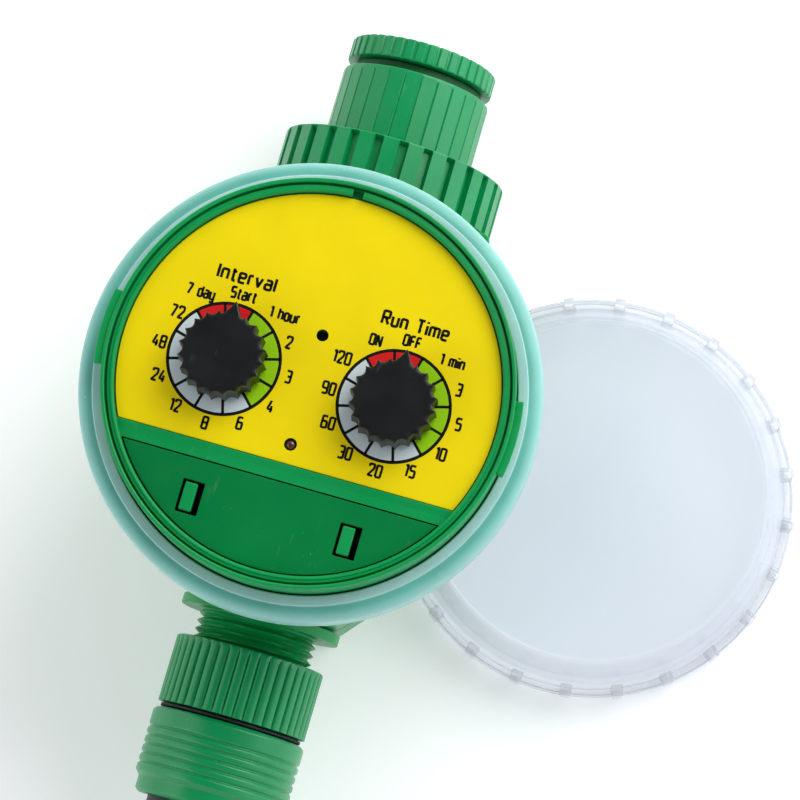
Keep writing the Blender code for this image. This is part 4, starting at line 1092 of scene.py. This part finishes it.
back_cover()
mid_housing()
front_shell()
face_plate()
battery_door()
latch_tab(-WINDOW_X, "latch_left", "latch_tab_left")
latch_tab(WINDOW_X, "latch_right", "latch_tab_right")
dial_face()
status_lamp()
knob("knob_left", -DIAL_X, "dial_left")
knob("knob_right", DIAL_X, "dial_right")
inlet_collar()
inlet_reducer()
inlet_bush()
valve_body()
outlet_nut()
connector_sleeve()
connector_body()
hose_nut()
clear_cover()
for name in screw_names("housing") + screw_names("front"):
    screw(name)

KEPT = (
    (dark_rubber, 0.15, ("rim_gasket", "collar_washer", "outlet_washer", "buffer_washer",
                         "nipple_o_ring", "stem_o_ring")),
    (deep_green, 0.15, ("bush_washer",)),
    (board, 0.1, ("circuit_board",)),
    (black, 0.3, ("battery_box", "rotary_switch_left", "rotary_switch_right")),
    (cell_skin, 0.3, ("cell_lower", "cell_upper")),
    (steel, 0.05, ("contact_left", "contact_right", "transfer_axle", "motor_shaft", "motor")),
    (brass, 0.0, ("ball", "motor_pinion")),
    (white, 0.1, ("switch_shaft_left", "switch_shaft_right", "seat_inlet", "seat_outlet", "valve_stem",
                  "seat_retainer", "filter_screen", "gearbox_base", "gearbox_cover", "output_gear",
                  "transfer_gear", "grip_ring")),
)
for material, bevel, nodes in KEPT:
    for node in nodes:
        keep_node(node, material, bevel)


# --- floor, light and camera ---

FLOOR_HALF_SIDE = 3.0        # this and the rest of the section are in metres
FLOOR_LEVEL = -0.0002
LAMPS_AIM = Vector((0.02, 0.0, 0.04))
# Name, place, side of its square, watts, colour
LAMPS = (
    ("key", (0.52, 0.86, 0.86), 0.95, 15.0, (1.0, 0.99, 0.97)),
    ("fill", (-0.9, -0.5, 0.7), 0.9, 3.0, (0.96, 0.98, 1.0)),
    ("side", (0.95, 0.42, 0.5), 0.7, 2.2, (0.66, 0.84, 1.0)),
)
CAMERA_AT = (0.0606, -0.1020, 0.780)
CAMERA_RIGHT = (0.9612, 0.2754, -0.0169)
CAMERA_BACK = (0.0593, -0.1465, 0.9874)
CAMERA_LENS = 156.5
CAMERA_SHIFT = (0.002, -0.0015)


def pale_floor():
    mesh = bpy.data.meshes.new("floor")
    half = FLOOR_HALF_SIDE
    corners = [(x, y, FLOOR_LEVEL) for x, y in ((-half, -half), (half, -half), (half, half), (-half, half))]
    mesh.from_pydata(corners, [], [(0, 1, 2, 3)])
    table = add_object("floor", mesh)
    paper = Nodes("pale_floor")
    paper.set(Base_Color=(0.9, 0.905, 0.91, 1.0), Roughness=0.9, Specular_IOR_Level=0.1,
              Emission_Color=(1.0, 1.0, 1.0, 1.0), Emission_Strength=0.22)
    mesh.materials.append(paper.material)


def studio_light():
    """A pale world that is dimmer overhead, and three soft lamps."""
    world = bpy.data.worlds.new("studio")
    world.use_nodes = True
    tree = world.node_tree
    sky = tree.nodes["Background"]
    sky.inputs["Color"].default_value = (0.96, 0.98, 1.0, 1.0)
    direction = tree.nodes.new("ShaderNodeTexCoord")
    split = tree.nodes.new("ShaderNodeSeparateXYZ")
    fade = tree.nodes.new("ShaderNodeMapRange")
    fade.interpolation_type = "SMOOTHSTEP"
    for key, value in (("From Min", 0.45), ("From Max", 0.95), ("To Min", 1.05), ("To Max", 0.12)):
        fade.inputs[key].default_value = value
    tree.links.new(direction.outputs["Generated"], split.inputs["Vector"])
    tree.links.new(split.outputs["Z"], fade.inputs["Value"])
    tree.links.new(fade.outputs["Result"], sky.inputs["Strength"])
    bpy.context.scene.world = world
    for name, at, size, power, colour in LAMPS:
        light = bpy.data.lights.new(name, "AREA")
        light.size = size
        light.energy = power
        light.color = colour
        holder = add_object(name, light)
        holder.location = at
        holder.rotation_mode = "QUATERNION"
        holder.rotation_quaternion = (LAMPS_AIM - Vector(at)).to_track_quat("-Z", "Y")


def photo_camera():
    data = bpy.data.cameras.new("photo_view")
    data.lens = CAMERA_LENS
    data.sensor_width = 36.0
    data.shift_x, data.shift_y = CAMERA_SHIFT
    data.clip_start = 0.05
    camera = add_object("photo_view", data)
    right, back = Vector(CAMERA_RIGHT).normalized(), Vector(CAMERA_BACK).normalized()
    up = back.cross(right).normalized()
    turn = Matrix((right, up, back)).transposed().to_4x4()
    camera.matrix_world = Matrix.Translation(CAMERA_AT) @ turn
    bpy.context.scene.camera = camera


pale_floor()
studio_light()
photo_camera()
bpy.context.scene.view_settings.view_transform = "Standard"
